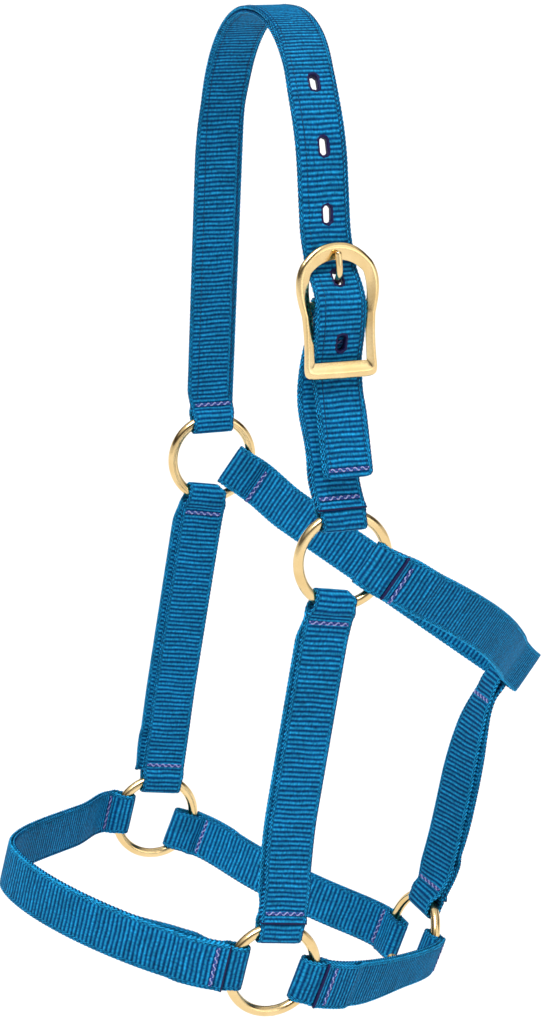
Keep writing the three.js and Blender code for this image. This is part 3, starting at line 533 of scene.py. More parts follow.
def webbing_material(name, crest_highlight, flank, groove_shade, shadow):
    """Ribbed nylon: rib, braid and yarn come from the cloth's own coordinates, in metres."""
    material, tree, shader = node_tree(name)
    half_width = WEBBING_WIDTH / 2 * MM
    uv = add(tree, "ShaderNodeUVMap", uv_map="cloth").outputs[0]
    split = add(tree, "ShaderNodeSeparateXYZ")
    tree.links.new(uv, split.inputs[0])
    turns = math_node(tree, "DIVIDE", split.outputs[0], RIB_PITCH * MM)
    # painted light across each rib: painted highlight on the crest, painted shade in the groove, the
    # flank colour between
    rib = add(tree, "ShaderNodeValToRGB")
    ramp = rib.color_ramp
    ramp.elements[0].position, ramp.elements[0].color = 0.0, groove_shade
    ramp.elements[1].position, ramp.elements[1].color = 1.0, groove_shade
    for position, colour in ((0.16, flank), (0.44, crest_highlight), (0.56, crest_highlight), (0.84, flank)):
        ramp.elements.new(position).color = colour
    tree.links.new(math_node(tree, "FRACT", turns), rib.inputs[0])

    # the braided selvedge: slanted strands in two columns, with painted highlight on the strands and
    # painted shade between them
    side = math_node(tree, "ABSOLUTE", split.outputs[1])
    off_middle = math_node(tree, "SUBTRACT", side, BRAID_MIDDLE * half_width)
    slant = math_node(tree, "ABSOLUTE", off_middle)
    lean = math_node(tree, "MULTIPLY", slant, BRAID_SLANT / ((1 - BRAID_MIDDLE) * half_width))
    angle = math_node(tree, "MULTIPLY", math_node(tree, "ADD", turns, lean), 2 * math.pi)
    strand = math_node(tree, "SINE", angle)
    braid_highlight = tuple(1.5 * c for c in crest_highlight[:3]) + (1.0,)
    braid = mix_colour(tree, ranged(tree, strand, 0.0, 1.0, -0.35, 0.7), groove_shade, braid_highlight)
    in_braid = math_node(tree, "GREATER_THAN", side, SELVEDGE * half_width)
    cloth = mix_colour(tree, in_braid, rib.outputs[0], braid)

    # yarn along the ribs, streaks from rib to rib, and patches of random tone with painted shade
    # fine flecks that lighten and darken the cloth: yarn tone, and painted sparkle of glints on the
    # ribs
    yarn_and_sparkle = noise(tree, scaled(tree, uv, (400.0, 820.0, 1.0)), 1.0, 4.0, 0.7)
    streak = noise(tree, scaled(tree, uv, (392.0, 60.0, 1.0)), 1.0, 2.0)
    tone_and_shade_patch = noise(tree, object_point(tree), 34.0, 4.0, 0.65)
    tone = math_node(tree, "MULTIPLY", ranged(tree, yarn_and_sparkle, 0.35, 1.65), ranged(tree, streak, 0.78, 1.2))
    tone = math_node(tree, "MULTIPLY", tone, ranged(tree, tone_and_shade_patch, 0.85, 1.15))
    grey = add(tree, "ShaderNodeCombineColor")
    for i in range(3):
        tree.links.new(tone, grey.inputs[i])
    toned = mix_colour(tree, 1.0, cloth, grey.outputs[0], "MULTIPLY")
    # where the patch noise is high the base colour takes the shadow colour: painted shade in patches
    feed(tree, shader, {
        "Base Color": mix_colour(tree, ranged(tree, tone_and_shade_patch, 0.0, 0.16), toned, shadow),
        "Roughness": ranged(tree, yarn_and_sparkle, 0.5, 0.75), "Specular IOR Level": 0.05})
    braid_height = math_node(tree, "MULTIPLY", strand, math_node(tree, "MULTIPLY", in_braid, 0.8))
    bump(tree, shader, math_node(tree, "ADD", yarn_and_sparkle, braid_height), 0.7, 0.0003)
    return material


def thread_material(name, colour, sheen=0.2):
    """Twisted sewing thread."""
    material, tree, shader = node_tree(name)
    wave = add(tree, "ShaderNodeTexWave", {"Scale": 900.0, "Distortion": 2.0},
               bands_direction="DIAGONAL")
    tree.links.new(object_point(tree), wave.inputs["Vector"])
    twist = wave.outputs["Fac"]
    dark = tuple(c * 0.55 for c in colour[:3]) + (1.0,)
    feed(tree, shader, {"Base Color": mix_colour(tree, twist, dark, colour), "Roughness": 0.45,
                        "Sheen Weight": sheen, "Specular IOR Level": 0.15})
    bump(tree, shader, twist, 0.4, 0.0002)
    return material


def brass_material(name):
    """Pale polished brass with faint brushing and small tonal changes."""
    material, tree, shader = node_tree(name)
    point = object_point(tree)
    cloud = noise(tree, point, 60.0, 4.0)
    colour = mix_colour(tree, cloud, (0.62, 0.39, 0.13, 1), (0.97, 0.78, 0.45, 1))
    feed(tree, shader, {"Base Color": colour, "Roughness": ranged(tree, cloud, 0.12, 0.26),
                        "Metallic": 1.0})
    bump(tree, shader, noise(tree, point, 900.0, 2.0), 0.12, 0.0002)
    return material


def melt_and_shade_material(name):
    """Webbing melted by the hot knife at a cut end and by the hot punch round a hole; on the first row
    at a cut end it is painted shadow of the slit under the ply's edge.
    """
    material, tree, shader = node_tree(name)
    grain = noise(tree, object_point(tree), 700.0, 3.0)
    colour = mix_colour(tree, grain, (0.003, 0.003, 0.02, 1), (0.014, 0.012, 0.09, 1))
    feed(tree, shader, {"Base Color": colour, "Roughness": 0.5, "Specular IOR Level": 0.15})
    bump(tree, shader, grain, 0.6, 0.0004)
    return material


# colours: the crest as painted highlight, the flank, the groove as painted shade, and the painted
# shadow of the patches
CLOTH = webbing_material("ribbed_webbing", (0.01, 0.235, 0.46, 1), (0.0002, 0.062, 0.18, 1),
                         (0.0001, 0.03, 0.112, 1), (0.0005, 0.02, 0.11, 1))
PALE_THREAD = thread_material("lavender_thread", (0.38, 0.4, 0.8, 1))
DARK_THREAD = thread_material("purple_thread", (0.03, 0.045, 0.3, 1))
EDGE_THREAD = thread_material("blue_thread", (0.0006, 0.055, 0.15, 1), 0.0)
BRASS = brass_material("pale_brass")
MELT_AND_SHADE = melt_and_shade_material("melted_webbing_and_shade")

# ---- pieces


def add_strap(node, body, path, edges, place, slip=None, melted=True):
    """A strap's webbing, in place of its node in the CAD."""
    name = node.removesuffix("_strap") + "_webbing"
    parts = [webbing(path, edges, place, slip, melted)]
    return make_object(name, parts, [CLOTH, MELT_AND_SHADE], body, [node])


def outer_ply(knots):
    """The slip of a strap's outer ply, from (distance along the strap, amount) knots."""
    return [(distance - CUT_END, amount) for distance, amount in knots]


def inner_ply(spine, knots):
    """The slip of its inner ply, which runs back from the fold at the second ring."""
    turned = 2 * (spine.length - FOLD_CENTRE) - CUT_END + math.pi * LOOP_RADIUS
    return [(turned - distance, amount) for distance, amount in reversed(knots)]


def add_stitching(node, body, spine, distance, plies, outer, place, span=STITCH_SPAN):
    parts = stitch_row(spine, distance, plies, outer, place, span)
    make_object(node + "_thread", parts, [PALE_THREAD, DARK_THREAD], body, [node])


def stitch_ends(first, last, body, spine, outer, place):
    """The rows that hold a strap's folds: through its tail at the first ring, and at the second."""
    add_stitching(first, body, spine, STITCH_AT, 3, outer, place)
    add_stitching(last, body, spine, spine.length - STITCH_AT, 2, outer, place)


def add_ring(node, centre, axis):
    """A ring of round wire, with the small seam where it was welded."""
    around, sides = 144, 24
    axis = unit(axis)
    first = unit(np.cross(axis, [0, 0, 1]))
    second = np.cross(axis, first)
    a = np.arange(around) * 2 * math.pi / around
    b = np.arange(sides) * 2 * math.pi / sides
    radial = np.cos(a)[:, None] * first + np.sin(a)[:, None] * second
    weld = 1 + 0.035 * np.exp(-((a - math.pi * 0.5) / 0.03) ** 2)
    wire = WIRE_RADIUS * weld[:, None]
    points = (centre + [0, 0, RISE]
              + radial[:, None] * (RING_RADIUS + wire * np.cos(b)[None])[..., None]
              + axis * (wire * np.sin(b)[None])[..., None])
    faces = [face[::-1] for face in grid_faces(around, sides, wrap_rows=True)]
    make_object(node + "_wire", [(points.reshape(-1, 3), faces, 0, None)], [BRASS], node, [node])


def add_brass(name, node, place, *shapes):
    """A brass piece, in place of its node in the CAD, from (points, faces) shapes."""
    parts = [(place.world(points), faces, 0, None) for points, faces in shapes]
    make_object(name, parts, [BRASS], node, [node])


SIDES = (("near", -1), ("far", 1))
CHIN_RUN = CHIN_RING - LOWER_RING
CHIN_REACH = float(np.linalg.norm(CHIN_RUN))
CHIN_ALONG = in_frame(CHIN_RUN) / CHIN_REACH
CHIN_UP = np.array([-CHIN_ALONG[2], 0, CHIN_ALONG[0]])


def rings():
    for side, sign in SIDES:
        add_ring(f"{side}_upper_ring", in_frame([0, 0], sign * HALF), [0, 1, 0])
        add_ring(f"{side}_lower_ring", in_frame(LOWER_RING, sign * HALF), [0, 1, 0])
    sideways = np.cross(CHIN_UP, CHIN_ALONG)
    axis = CHIN_ALONG * math.cos(CHIN_RING_YAW) + sideways * math.sin(CHIN_RING_YAW)
    add_ring("chin_ring", in_frame(CHIN_RING), axis)


CHEEK_BOW = {"near": 3.2, "far": 1.0}  # edgewise towards the nose


def cheek_straps():
    length = float(np.linalg.norm(LOWER_RING))
    spine = Spine(line([0, 0], [length, 0]))
    plain = drawn_in([length, 0], 11.4)
    for side, sign in SIDES:
        place = Place(in_frame(LOWER_RING, sign * HALF), in_frame(-LOWER_RING), [0, sign, 0])
        throat_side = np.sign(place.z[0])

        def edgewise(points, most=CHEEK_BOW[side] * throat_side):
            pushed = most * eased(points[:, 0], [(30, 0), (90, 1), (180, 1), (215, 0.3)])
            return moved_across(points, -pushed)

        place.warp = edgewise

        def top_edge(x, y, side_z, z):
            """The fold at the upper ring slants in on its throat side."""
            drawn = plain(x, y, side_z, z)
            if side_z != throat_side:
                return drawn
            from_fold = np.clip(length - x - LOOP_REACH - 0.8, 0, None)
            return side_z * np.minimum(np.abs(drawn), 6 + 1.6 * from_fold)

        if side == "near":
            slip = inner_ply(spine, [(34, 0), (46, -2 * throat_side), (180, -2 * throat_side),
                                     (194, 0)])
        else:
            slip = outer_ply([(CUT_END, -3 * throat_side), (46, -4 * throat_side),
                              (186, -4 * throat_side), (207, 0)])
        add_strap(f"{side}_cheek_strap", "lower_halter", ring_to_ring(spine, reach_b=0.45),
                  [drawn_in([0, 0]), top_edge], place, slip)
        stitch_ends(f"{side}_cheek_lower_stitching", f"{side}_cheek_upper_stitching",
                    "lower_halter", spine, 1, place)


def noseband():
    nose_run = NOSE_TIP - LOWER_RING
    reach = float(np.linalg.norm(nose_run))
    spine = Spine(
        line([0, -HALF], [RING_SHOULDER, -HALF]),
        bezier([RING_SHOULDER, -HALF], [57, -HALF], [reach, -50], [reach, 0]),
        bezier([reach, 0], [reach, 24], [88, 50], [58, 79]),
        bezier([58, 79], [46, 91], [40, HALF - 3], [RING_SHOULDER, HALF]),
        line([RING_SHOULDER, HALF], [0, HALF]))
    place = Place(in_frame(LOWER_RING), in_frame(nose_run), [0, 1, 0])
    add_strap("noseband", "noseband", ring_to_ring(spine, outer=-1),
              [drawn_in([0, -HALF]), drawn_in([0, HALF])], place,
              inner_ply(spine, [(34, 0), (44, -1.8), (54, -1.8), (80, 0)]))
    stitch_ends("noseband_near_stitching", "noseband_far_stitching", "noseband", spine, -1, place)


def chin_straps():
    def off_ring(sign, distance):
        return [CHIN_REACH - sign * distance * math.sin(CHIN_RING_YAW),
                sign * distance * math.cos(CHIN_RING_YAW)]

    def far_sag(points):
        return moved_across(points, -eased(points[:, 0], [(10, 0), (115, 6)]))

    def near_roll(points):
        """The lower edge curls up towards the chin ring."""
        curl = eased(points[:, 0], [(CHIN_REACH - 75, 0), (CHIN_REACH - 25, 5)])
        return moved_across(points, curl * smooth(-points[:, 2], -2, 13))

    curves = {
        "near": [bezier([RING_SHOULDER, -HALF], [54, -HALF], off_ring(-1, 40),
                        off_ring(-1, RING_SHOULDER))],
        "far": [bezier([RING_SHOULDER, HALF], [40, HALF], [46, 96], [56, 84]),
                bezier([56, 84], [76, 60], off_ring(1, 46), off_ring(1, RING_SHOULDER))]}
    warp = {"near": near_roll, "far": far_sag}
    drop = {"near": 1.5, "far": 4.5}       # how far below the rings' middles the strap lies
    reach = {"near": -1.4, "far": -4.2}    # and so how much nearer to them it folds
    for side, sign in SIDES:
        spine = Spine(line([0, sign * HALF], [RING_SHOULDER, sign * HALF]), *curves[side],
                      line(off_ring(sign, RING_SHOULDER), [CHIN_REACH, 0]))
        place = Place(in_frame(LOWER_RING) - CHIN_UP * drop[side], CHIN_ALONG, [0, 1, 0], warp[side])
        add_strap(f"{side}_chin_strap", "lower_halter",
                  ring_to_ring(spine, sign, reach[side], reach[side]),
                  [drawn_in([0, sign * HALF]), drawn_in([CHIN_REACH, 0])], place)
        stitch_ends(f"{side}_chin_side_stitching", f"{side}_chin_ring_stitching", "lower_halter",
                    spine, sign, place)


THROAT_REACH = float(np.linalg.norm(THROAT_FOLD))
THROAT_ALONG = THROAT_FOLD / THROAT_REACH
THROAT_UP = np.array([-THROAT_ALONG[1], THROAT_ALONG[0]])
CHORD_X = THROAT_REACH - 15  # the inner ply runs straight across here, and the connector hangs on it
CHORD_HALF = 10.6
CHORD_TOP = 9.5


def throatlatch():
    fold_x = THROAT_REACH - PLY
    spine = Spine(
        line([0, -HALF], [RING_SHOULDER, -HALF]),
        bezier([RING_SHOULDER, -HALF], [75, -HALF], [122, -86], [163, -30]),
        bezier([163, -30], [174, -15], [fold_x - 2, -12], [fold_x, 0]),
        bezier([fold_x, 0], [fold_x, 8], [184, 11], [174, 17.5]),
        line([174, 17.5], [68, 87.5]),
        bezier([68, 87.5], [54, 97], [44, HALF], [RING_SHOULDER, HALF]),
        line([RING_SHOULDER, HALF], [0, HALF]))

    def straight_across(path):
        sides = path[path[:, 0] < CHORD_X - 2.5]
        middle = int(np.argmax(sides[:, 1] < 0))
        corner = np.array([[CHORD_X - 1, CHORD_HALF + 0.9], [CHORD_X - 0.3, CHORD_HALF + 0.1],
                           [CHORD_X, CHORD_HALF - 1]])
        return np.vstack([sides[:middle], corner, corner[::-1] * [1, -1], sides[middle:]])

    def chord_edge(x, y, side, z):
        """The straight piece's upper edge is low enough for the connector to pass over it."""
        on_chord = (np.abs(x - CHORD_X) < 2) & (np.abs(y) < CHORD_HALF + 1.8) & (side > 0)
        return np.where(on_chord, CHORD_TOP, z)

    rise = through([[0, 3], [24, 3.4], [40, 6.6], [60, 9.6], [90, 11.2], [118, 10.4], [150, 6.4],
                    [180, 1.6], [200, 0.5]])

    def raised(points):
        """The near half bows upwards."""
        x, y = points[:, 0], points[:, 1]
        return moved_across(points, smooth(-y, -2, 6) * np.interp(x, rise[:, 0], rise[:, 1]))

    place = Place([0, 0, 0], in_frame(THROAT_FOLD), [0, 1, 0], raised)
    add_strap("throatlatch", "lower_halter", ring_to_ring(spine, -1, -4, -4, straight_across),
              [drawn_in([0, -HALF], 12.7, 2.8), drawn_in([0, HALF], 12.7, 2.8), chord_edge], place)
    stitch_ends("throatlatch_near_stitching", "throatlatch_far_stitching", "lower_halter", spine,
                -1, place)


def connector():
    up = CHIN_UP[[0, 2]]

    def on_throat(height):
        return THROAT_ALONG * CHORD_X + THROAT_UP * height

    end = on_throat(CHORD_TOP + 0.6)
    shoulder = CHIN_RING + up * RING_SHOULDER
    spine = Spine(line(CHIN_RING, shoulder),
                  bezier(shoulder, CHIN_RING + up * 75, on_throat(-50), on_throat(-14.5)),
                  line(on_throat(-14.5), end))
    far = spine.length
    opens = far - CHORD_TOP - 15

    def apart(d):
        return np.maximum(spread(d), mix(PLY_MID, PLY_PITCH, smooth(d, opens - 9, opens)))

    def top_edge(x, y, side, z):
        below = np.hypot(x - end[0], y - end[1])
        drawn = side * mix(9.8, WEBBING_WIDTH / 2, smooth(below, 26, 55))
        return np.where(below > 60, z, drawn)

    chord = unit(end - CHIN_RING)
    twist_most = math.radians(19)

    def twist(points):
        """Turned to the chin ring at its foot, most in the middle, and not at the throatlatch."""
        d = np.clip((points[:, :2] - CHIN_RING) @ chord, 0, far)
        point, tangent = spine.at(d)
        low = mix(CHIN_RING_YAW, twist_most, smooth(d, 25, 46))
        angle = np.where(d < 60, low, twist_most * (1 - smooth(d, 95, far - 24)))
        across = square_to(tangent)
        out = np.sum((points[:, :2] - point) * across, 1)
        along = np.sum((points[:, :2] - point) * tangent, 1)
        z = points[:, 2]
        # tangent x across = +z, so turning by the right-hand rule takes across towards z
        new_out = out * np.cos(angle) - z * np.sin(angle)
        new_z = out * np.sin(angle) + z * np.cos(angle)
        flat = point + tangent * along[:, None] + across * new_out[:, None]
        return np.column_stack([flat, new_z])

    place = Place([0, 0, 0], [1, 0, 0], [0, 0, 1], twist)
    add_strap("connector_strap", "lower_halter",
              folded(spine, -1, apart, FOLD_CENTRE, far, PLY_PITCH), [drawn_in(CHIN_RING), top_edge],
              place, outer_ply([(32, 0), (84, 3.2), (far - 70, 3.2), (far - 34, 0)]))
    add_stitching("connector_chin_stitching", "lower_halter", spine, STITCH_AT, 3, -1, place)
    add_stitching("connector_throat_stitching", "lower_halter", spine, far - CHORD_TOP - 26, 2, -1,
                  place, 18)


# ---- crown, billet and buckle

ARCH_CENTRE = CROWN_RISE - ARCH_RADIUS
ARCH_BESIDE = HALF - CROWN_FLAT / 2
LEAN_LENGTH = math.sqrt(ARCH_BESIDE ** 2 + (ARCH_CENTRE - RING_SHOULDER) ** 2 - ARCH_RADIUS ** 2)
LEG_LENGTH = RING_SHOULDER + LEAN_LENGTH
LEAN = (math.atan2(ARCH_BESIDE, ARCH_CENTRE - RING_SHOULDER)
        - math.atan2(ARCH_RADIUS, LEAN_LENGTH))


def near_leg(u, v=0.0):
    """The point at a distance u up the near leg and v out of it."""
    rise = u - RING_SHOULDER
    return [-HALF + rise * math.sin(LEAN) - v * math.cos(LEAN),
            RING_SHOULDER + rise * math.cos(LEAN) + v * math.sin(LEAN)]


def far_leg(u):
    y, z = near_leg(u)
    return [-y, z]


def bow(*knots):
    """Bends the near leg edgewise towards the nose, by (height above its ring, amount) knots."""
    def warp(points):
        return moved_across(points, -eased(points[:, 1], knots) * (points[:, 0] < 0))
    return warp


CROWN_PLACE = Place([0, 0, 0], [0, 1, 0], [0, 0, 1], bow((135, 0), (170, 3), (225, 3), (275, 0)))
BILLET_PLACE = Place([0, 0, 0], [0, 1, 0], [0, 0, 1], bow((14, 0), (48, 5.4), (68, 5.4), (128, 0)))


def crown_spine():
    """Up the far leg, over the arch, down the near leg and through the buckle."""
    weave = [[LEG_LENGTH, 0], [179, 0.2], [165, 0.4], [156, 0.7], [148, 1.5], [139.4, 7.2],
             [BAR_AT, 10.4], [117, 7.2], [102.3, 1.1], [94, 0.6], [79, 2.4], [62, 5.8], [44, 9.4]]
    flat = CROWN_FLAT / 2
    return Spine(line([HALF, 0], far_leg(RING_SHOULDER)),
                 line(far_leg(RING_SHOULDER), far_leg(LEG_LENGTH)),
                 arc([flat, ARCH_CENTRE], ARCH_RADIUS, LEAN, math.pi / 2),
                 arc([-flat, ARCH_CENTRE], ARCH_RADIUS, math.pi / 2, math.pi - LEAN),
                 through([near_leg(u, v) for u, v in weave]))


def slot_outline(length, width):
    """A slot's outline round the origin: first coordinate along the strap."""
    angle = np.arange(HOLE_POINTS) * 2 * math.pi / HOLE_POINTS
    straight = (length - width) / 2
    return np.stack([width / 2 * np.sin(angle) + straight * np.sign(np.sin(angle)),
                     width / 2 * np.cos(angle)], 1)


def hole_ring(spine, distance, outline, level):
    """An outline round a hole, so far out of the crown's middle."""
    centre, out, across, along = row_frame(spine, distance, 1)
    return centre + outline[:, :1] * along + outline[:, 1:] * across + level * out


def hole_parts(spine, distance):
    """The melted lip round one punched slot, through both plies."""
    half = PLY_MID + PLY / 2
    lip = [(0.0, -half + 0.5), (0.25, -half), (0.75, -half - 0.12), (1.2, -half), (1.5, -half + 0.5)]
    profile = lip + [(grow, -level) for grow, level in reversed(lip)]
    rows = []
    for grow, level in profile:
        wobble = np.sin(np.arange(HOLE_POINTS) * 1.37 + 7 * grow + 0.1 * distance)
        ragged = 1 + 0.04 * wobble[:, None]
        outline = slot_outline(HOLE_LENGTH - 0.4 + 2 * grow, HOLE_WIDTH - 0.4 + 2 * grow) * ragged
        rows.append(hole_ring(spine, distance, outline, level))
    faces = grid_faces(len(profile), HOLE_POINTS, wrap_rows=True)
    return CROWN_PLACE.world(np.vstack(rows)), faces, 0, None


def hole_cutter(spine, distance):
    outline = slot_outline(HOLE_LENGTH + 1.2, HOLE_WIDTH + 1.2)
    points = np.vstack([hole_ring(spine, distance, outline, level) for level in (-6, 6)])
    return CROWN_PLACE.world(points), grid_faces(2, HOLE_POINTS) + end_faces(2, HOLE_POINTS)


def edge_thread(spine, start, end):
    """Short running stitches about 3 mm inside both edges, on both faces of the crown."""
    parts = []
    pitch, inset = 2.6, 9.6
    surface = PLY_MID + PLY / 2 - 0.12
    for face in (1, -1):
        for across in (-inset, inset):
            for d in np.arange(start, end, pitch):
                marks = np.linspace(d, d + pitch * 0.7, 4)
                flat = spine.offset(marks, face * (surface + np.array([-0.1, 0.16, 0.16, -0.1])))
                points, faces = tube(np.column_stack([flat, np.full(4, across)]), 0.3, 5)
                parts.append((CROWN_PLACE.world(points), faces, 0, None))
    return parts


def crown():
    spine = crown_spine()
    tip = spine.length
    outer = run(FOLD_CENTRE, tip)
    path = np.vstack([spine.offset(outer[::-1], -spread(outer[::-1])),
                      spine.half_turn(FOLD_CENTRE, -1, LOOP_RADIUS, -1)[1:-1],
                      spine.offset(outer, spread(outer))])
    end, heading = (value[0] for value in spine.at(tip))
    turned = tip - FOLD_CENTRE + math.pi * LOOP_RADIUS
    slip = [(30, 0), (52, -1.6), (tip * 0.32, -1.6), (tip * 0.4, 0),
            (turned + 12, 0), (turned + 28, -2.6), (turned + tip * 0.27, -2.6),
            (turned + tip * 0.36, 0)]

    def rounded_tip(x, y, side, z):
        to_end = np.clip((np.stack([x, y], 1) - end) @ -heading, 0, None)
        short = np.where((x < 0) & (y < 80), np.clip(TIP_CORNER - to_end, 0, TIP_CORNER), 0)
        return z - side * (TIP_CORNER - np.sqrt(TIP_CORNER ** 2 - short ** 2))

    strap = add_strap("crown_strap", "headstall", path, [drawn_in([HALF, 0]), rounded_tip],
                      CROWN_PLACE, slip, melted=False)
    target = np.array(near_leg(TONGUE_HOLE_AT, 3))
    marks = np.arange(tip / 2, tip, 0.25)
    tongue_hole = marks[np.argmin(np.linalg.norm(spine.at(marks)[0] - target, axis=1))]
    holes = [tongue_hole + i * HOLE_PITCH for i in range(-3, 2)]
    for distance in holes:
        cut_away(strap, *hole_cutter(spine, distance))
    make_object("hole_edges", [hole_parts(spine, d) for d in holes], [MELT_AND_SHADE], "headstall")
    make_object("crown_edge_thread", edge_thread(spine, STITCH_AT + 4, tip - 6), [EDGE_THREAD],
                "headstall")
    add_stitching("crown_ring_stitching", "headstall", spine, STITCH_AT, 2, 1, CROWN_PLACE)
    add_stitching("crown_tip_stitching", "headstall", spine, tip - 4, 2, 1, CROWN_PLACE)


def billet():
    tuck = -12.5       # how far it lies behind the crown strap's end
    bar_loop = BAR_RADIUS + 0.3 + PLY / 2
    spine = Spine(line([-HALF, 0], near_leg(RING_SHOULDER)),
                  line(near_leg(RING_SHOULDER), near_leg(50)),
                  bezier(near_leg(50), near_leg(67), near_leg(73, tuck), near_leg(90, tuck)),
                  bezier(near_leg(90, tuck), near_leg(108, tuck), near_leg(116, -3),
                         near_leg(BAR_AT, BAR_OUT)))
    far = spine.length

    def apart(d):
        return np.maximum(spread(d), mix(bar_loop, PLY_MID, smooth(far - d, 2, 12)))

    strap = add_strap("billet_strap", "headstall",
                      folded(spine, 1, apart, FOLD_CENTRE, far, bar_loop), [drawn_in([-HALF, 0])],
                      BILLET_PLACE)
    # the slit in the fold, for the tongue
    centre = np.array([*near_leg(BAR_AT + 5, BAR_OUT), 0])
    box = np.array([[x, y, z] for x in (-12, 12) for y in (-12, 12) for z in (-3.1, 3.1)]) + centre
    faces = [(0, 1, 3, 2), (4, 6, 7, 5), (0, 4, 5, 1), (2, 3, 7, 6), (0, 2, 6, 4), (1, 5, 7, 3)]
    cut_away(strap, BILLET_PLACE.world(box), faces)
    add_stitching("billet_ring_stitching", "headstall", spine, STITCH_AT, 3, 1, BILLET_PLACE)
    add_stitching("billet_buckle_stitching", "headstall", spine, far - 21, 2, 1, BILLET_PLACE)


def buckle_rims():
    """The frame's outline and its window's, point for point, from the bottom's middle round."""
    half, top, low = 13.9, 22.3, -28.4
    wide, waist, foot, peak, base = 21.8, 18.7, 19.3, 31, -37
    marks = np.linspace(0, 1, 26)
    outer = [
        line([0, base], [foot - 5, base + 0.3]),
        bezier([foot - 5, base + 0.3], [foot - 0.6, base + 0.8], [foot + 0.2, base + 2],
               [foot, base + 7]),
        bezier([foot, base + 7], [waist, -22], [waist, -14], [waist + 0.8, -5]),
        bezier([waist + 0.8, -5], [wide + 0.4, 5], [wide + 2, 13], [wide - 3, 21]),
        bezier([wide - 3, 21], [13, 28], [8, peak], [0, peak])]
    inner = [
        line([0, low], [half - 1.4, low]),
        bezier([half - 1.4, low], [half, low], [half, low], [half, low + 1.4]),
        line([half, low + 1.4], [half, -5]),
        bezier([half, -5], [half + 2, 4], [half + 1.8, 11], [half, 16]),
        bezier([half, 16], [9.5, 20.8], [5, top], [0, top])]
    rims = []
    for curves in (outer, inner):
        right = []
        for curve in curves:
            steps = np.linalg.norm(np.diff(curve, axis=0), axis=1)
            reach = np.r_[0, np.cumsum(steps)] / steps.sum()
            even = [np.interp(marks, reach, curve[:, i]) for i in (0, 1)]
            right.append(np.stack(even, 1)[:-1])
        right = np.vstack([*right, curves[-1][-1:]])
        rims.append(np.vstack([right, right[-2:0:-1] * [-1, 1]]))
    return rims


def buckle():
    # x across the strap, y up the near leg, z out of it, from the leg's line behind the centre bar
    y, z = near_leg(BAR_AT)
    place = Place([-0.8, y, z], [1, 0, 0], [0, math.sin(LEAN), math.cos(LEAN)])
    outer, inner = buckle_rims()
    sides = 32
    around = np.linspace(0, 2 * math.pi, sides, endpoint=False)
    share = 0.5 + 0.5 * np.cos(around)
    tall = np.sin(around)
    tall = np.where(tall > 0, tall * (1 - 0.8 * (1 - share) ** 1.5), tall)   # slopes to its window
    flat = inner[:, None] + (outer - inner)[:, None] * share[None, :, None]
    height = FRAME_BACK + FRAME_THICKNESS / 2 + FRAME_THICKNESS / 2 * tall
    height = np.broadcast_to(height, flat.shape[:2])[..., None]
    points = np.concatenate([flat, height], 2).reshape(-1, 3)
    bar = np.array([[x, 0, BAR_OUT] for x in np.linspace(-15.6, 15.6, 13)])
    add_brass("buckle_frame_casting", "buckle_frame", place,
              (points, grid_faces(len(outer), sides, wrap_rows=True)), tube(bar, BAR_RADIUS, 20))

    prong = through([[3.2, 3.3], [7.6, 3.2], [10.2, 4.7], [12.8, 7.7], [15.4, 10.3], [18.8, 11.2],
                     [25.2, 11.1]])
    progress = np.linspace(0, 1, len(prong))
    prong = np.column_stack([0.4 - 0.9 * progress, prong])
    taper = mix(1.4, 1.7, smooth(progress, 0.2, 0.5))
    # the eye round the bar: a squarish band
    band_sides, turns = 16, 48
    band = np.linspace(0, 2 * math.pi, band_sides, endpoint=False)
    turn = np.linspace(0, 2 * math.pi, turns, endpoint=False)
    radius = 3.12 + 0.78 * np.sign(np.cos(band)) * np.abs(np.cos(band)) ** 0.6
    width = 2.35 * np.sign(np.sin(band)) * np.abs(np.sin(band)) ** 0.6
    eye = np.stack([np.broadcast_to(width, (turns, band_sides)),
                    radius[None] * np.cos(turn)[:, None],
                    BAR_OUT + radius[None] * np.sin(turn)[:, None]], 2).reshape(-1, 3)
    add_brass("buckle_tongue_forging", "buckle_tongue", place, tube(prong, taper, 16, up=(1, 0, 0)),
              (eye, grid_faces(turns, band_sides, wrap_rows=True)))


# ---- camera, light and floor


def view_from(azimuth, elevation):
    a, e = math.radians(azimuth), math.radians(elevation)
    return Vector((math.sin(a) * math.cos(e), -math.cos(a) * math.cos(e), math.sin(e)))


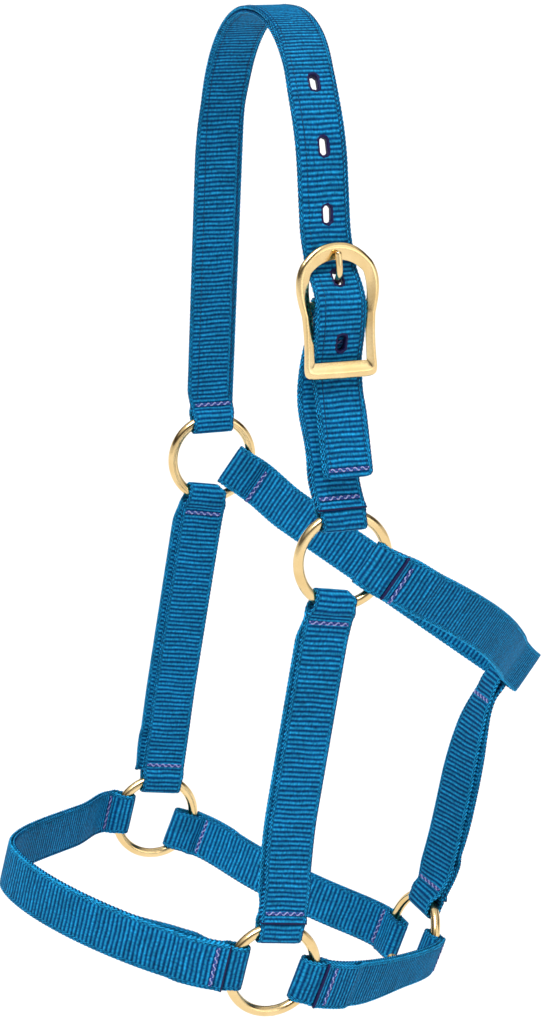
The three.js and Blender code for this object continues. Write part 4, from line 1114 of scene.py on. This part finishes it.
def camera():
    target = Vector((1.1, 0, RISE - 4.1)) * MM
    distance = 1.347
    back = view_from(-19.1, 15.8)
    data = bpy.data.cameras.new("camera")
    data.lens = 85.9
    data.sensor_width = 36
    eye = bpy.data.objects.new("camera", data)
    eye.location = target + back * distance
    eye.rotation_euler = back.to_track_quat("Z", "Y").to_euler()
    bpy.context.scene.collection.objects.link(eye)
    bpy.context.scene.camera = eye


def sun(name, azimuth, elevation, strength, angle):
    data = bpy.data.lights.new(name, "SUN")
    data.energy = strength
    data.angle = math.radians(angle)
    lamp = bpy.data.objects.new(name, data)
    lamp.rotation_euler = view_from(azimuth, elevation).to_track_quat("Z", "Y").to_euler()
    bpy.context.scene.collection.objects.link(lamp)


def studio():
    bpy.context.scene.view_settings.view_transform = "Standard"
    world = bpy.data.worlds.new("studio")
    world.use_nodes = True
    tree = world.node_tree
    place = add(tree, "ShaderNodeTexCoord")
    split = add(tree, "ShaderNodeSeparateXYZ")
    tree.links.new(place.outputs["Generated"], split.inputs[0])
    ramp = add(tree, "ShaderNodeValToRGB")
    # pale at eye level, a dim band above it for the brass to mirror, and a bright ceiling
    stops = ramp.color_ramp.elements
    stops[0].position, stops[0].color = 0.2, (0.95, 0.95, 0.95, 1)
    stops[1].position, stops[1].color = 0.72, (1, 1, 1, 1)
    for position in (0.27, 0.5):
        stops.new(position).color = (0.06, 0.05, 0.04, 1)
    tree.links.new(split.outputs[2], ramp.inputs[0])
    feed(tree, tree.nodes["Background"], {0: ramp.outputs[0], 1: 0.85})
    bpy.context.scene.world = world
    sun("key", -42, 62, 2.8, 24)
    sun("fill", 30, 22, 0.5, 40)
    bpy.ops.mesh.primitive_plane_add(size=400, location=(0, 0, -1.4))
    floor = bpy.context.object
    floor.name = "floor"
    material, tree, shader = node_tree("pale_floor")
    cloud = add(tree, "ShaderNodeTexNoise", {"Scale": 3.0}).outputs[0]
    tone = mix_colour(tree, cloud, (0.82, 0.82, 0.82, 1), (0.84, 0.84, 0.84, 1))
    feed(tree, shader, {"Base Color": tone, "Roughness": 0.9})
    floor.data.materials.append(material)


camera()
rings()
cheek_straps()
noseband()
chin_straps()
throatlatch()
connector()
crown()
billet()
buckle()
studio()
